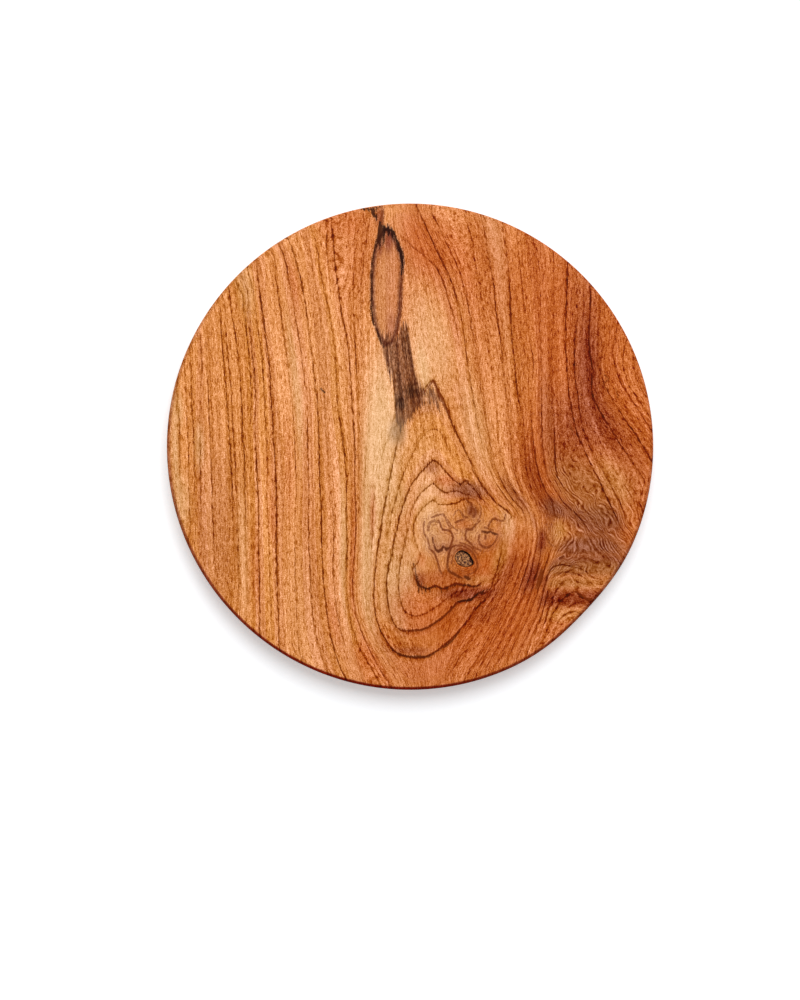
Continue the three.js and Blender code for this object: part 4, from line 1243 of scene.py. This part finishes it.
def dead_wood():
    """A dead branch's heart, dry and torn: grey-brown and rough, with mould specks and dark cracks."""
    dry = srgb("#F4AE72")
    mossy = srgb("#703612")
    purple = srgb("#4A2226")
    cracked = srgb("#1A0A04")
    material, tree, surface = start_material("dead_knot_wood")
    place = in_millimetres(tree)
    side = drawn_out(tree, place, 0.9, 0.9, 2.0)
    specks = drawn_out(tree, place, 1.0, 1.0, 2.0)
    specks = node(tree, "MapRange", {"Value": specks, "From Min": 0.5, "From Max": 0.75})
    cracks = node(tree, "TexVoronoi", {"Vector": place, "Scale": 0.9}, feature="DISTANCE_TO_EDGE")
    cracks = node(tree, "MapRange", {"Value": cracks, "From Min": 0.02, "From Max": 0.12,
                                     "To Min": 0.5, "To Max": 0.0})
    colour = node(tree, "Mix", {"Factor": side, "A": mossy, "B": dry}, data_type="RGBA")
    for share, tone in ((specks, purple), (cracks, cracked)):
        colour = node(tree, "Mix", {"Factor": share, "A": colour, "B": tone}, data_type="RGBA")
    bump = node(tree, "Bump", {"Height": drawn_out(tree, place, 0.5, 0.5, 3.0), "Distance": 0.2 * MM})
    set_surface(tree, surface, {"Base Color": colour, "Roughness": 0.85, "Normal": bump, "IOR": 1.5,
                                "Specular IOR Level": 0.15})
    return material


def cured_filler():
    """Dark resin filler, poured round the stub and scraped back: near black, satin and slightly pitted."""
    pitch = srgb("#1C1210")
    dusty = srgb("#3A2620")
    brown = srgb("#8A5228")
    towards_front_left = (-0.7, -0.7, 0)
    material, tree, surface = start_material("cured_filler")
    place = in_millimetres(tree)
    dust = drawn_out(tree, place, 1.2, 1.2, 3.0)
    colour = node(tree, "Mix", {"Factor": dust, "A": pitch, "B": dusty}, data_type="RGBA")
    # It turns brown towards the front left and stays near black at the back right. The near black there is
    # partly painted shade of the hole's back wall, which faces away from the lamp.
    beside = node(tree, "VectorMath", {0: place, 1: (*KNOT_CENTRE, THICKNESS)}, operation="SUBTRACT")
    brown_front_left = node(tree, "VectorMath", {0: beside, 1: towards_front_left}, operation="DOT_PRODUCT")
    brown_front_left = node(tree, "MapRange", {"Value": brown_front_left.outputs["Value"], "From Max": 3.5, "To Max": 0.85})
    colour = node(tree, "Mix", {"Factor": brown_front_left, "A": colour, "B": brown}, data_type="RGBA")
    polish = node(tree, "MapRange", {"Value": dust, "To Min": 0.28, "To Max": 0.55})
    bump = node(tree, "Bump", {"Height": drawn_out(tree, place, 0.7, 0.7, 2.0), "Distance": 0.1 * MM})
    set_surface(tree, surface, {"Base Color": colour, "Roughness": polish, "Normal": bump, "IOR": 1.54,
                                "Specular IOR Level": 0.25})
    return material


add_piece("teak_plate", plate_board(), oiled_teak(), "teak_board")
add_piece("knot_stub", knot_stub(), dead_wood(), "knot_core")
add_piece("filler_ring", filler_ring(), cured_filler(), "knot_filler")


# The camera looks straight down. The plate's centre lies off the picture's, as in the photograph.

def overhead_camera():
    """A camera above the picture's centre, whose frame fits the photograph's at the rim."""
    height = 1200
    centre_px = np.array(PLATE_CENTRE_PX) + 0.5  # the photograph's places are the middles of pixels
    off_centre = (np.array(PHOTO_SIZE) / 2 - centre_px) * PIXEL
    data = bpy.data.cameras.new("overhead_camera")
    data.sensor_fit = "VERTICAL"
    data.sensor_height = 24
    data.lens = data.sensor_height * height / (PHOTO_SIZE[1] * PIXEL)
    camera = bpy.data.objects.new("overhead_camera", data)
    shoulder = THICKNESS - TOP_EDGE_ROUND
    camera.location = (off_centre[0] * MM, -off_centre[1] * MM, (shoulder + height) * MM)
    bpy.context.collection.objects.link(camera)
    bpy.context.scene.camera = camera


def window_light(direction_degrees, height_degrees, share):
    """A large soft lamp that gives a level white surface this share of its full brightness."""
    distance = 3.0
    side = 2.0
    turn = math.radians(direction_degrees)
    rise = math.radians(height_degrees)
    towards = Vector((math.cos(turn) * math.cos(rise), math.sin(turn) * math.cos(rise), math.sin(rise)))
    data = bpy.data.lights.new("window_light", "AREA")
    data.shape = "SQUARE"
    data.size = side
    data.energy = share * math.pi ** 2 * distance ** 2 / math.sin(rise)
    lamp = bpy.data.objects.new("window_light", data)
    lamp.location = towards * distance
    lamp.rotation_euler = towards.to_track_quat("Z", "Y").to_euler()
    bpy.context.collection.objects.link(lamp)


def soft_room(share):
    """Even light from all round."""
    world = bpy.data.worlds.new("soft_room")
    world.use_nodes = True
    background = world.node_tree.nodes["Background"]
    background.inputs["Color"].default_value = (1, 1, 1, 1)
    background.inputs["Strength"].default_value = share
    bpy.context.scene.world = world


def white_table():
    """The pale table. It glows a little for the camera, so that it comes out white."""
    reach = 4.0
    glow_strength = 0.3
    mesh = bpy.data.meshes.new("white_table")
    square = [(-reach, -reach, 0), (reach, -reach, 0), (reach, reach, 0), (-reach, reach, 0)]
    mesh.from_pydata(square, [], [(0, 1, 2, 3)])
    material, tree, surface = start_material("white_tabletop")
    rays = node(tree, "LightPath").outputs
    seen = node(tree, "Math", {0: rays["Is Camera Ray"], 1: rays["Is Glossy Ray"]}, operation="MAXIMUM")
    seen = node(tree, "Math", {0: seen, 1: rays["Is Transmission Ray"]}, operation="MAXIMUM")
    glow = node(tree, "Math", {0: seen, 1: glow_strength}, operation="MULTIPLY")
    set_surface(tree, surface, {"Base Color": (0.92, 0.95, 0.98, 1), "Roughness": 1.0,
                                "Specular IOR Level": 0.0, "Emission Color": (1, 1, 1, 1),
                                "Emission Strength": glow})
    table = bpy.data.objects.new("white_table", mesh)
    mesh.materials.append(material)
    bpy.context.collection.objects.link(table)


overhead_camera()
window_light(direction_degrees=80, height_degrees=60, share=0.65)
soft_room(share=0.35)
white_table()
bpy.context.scene.view_settings.view_transform = "Standard"
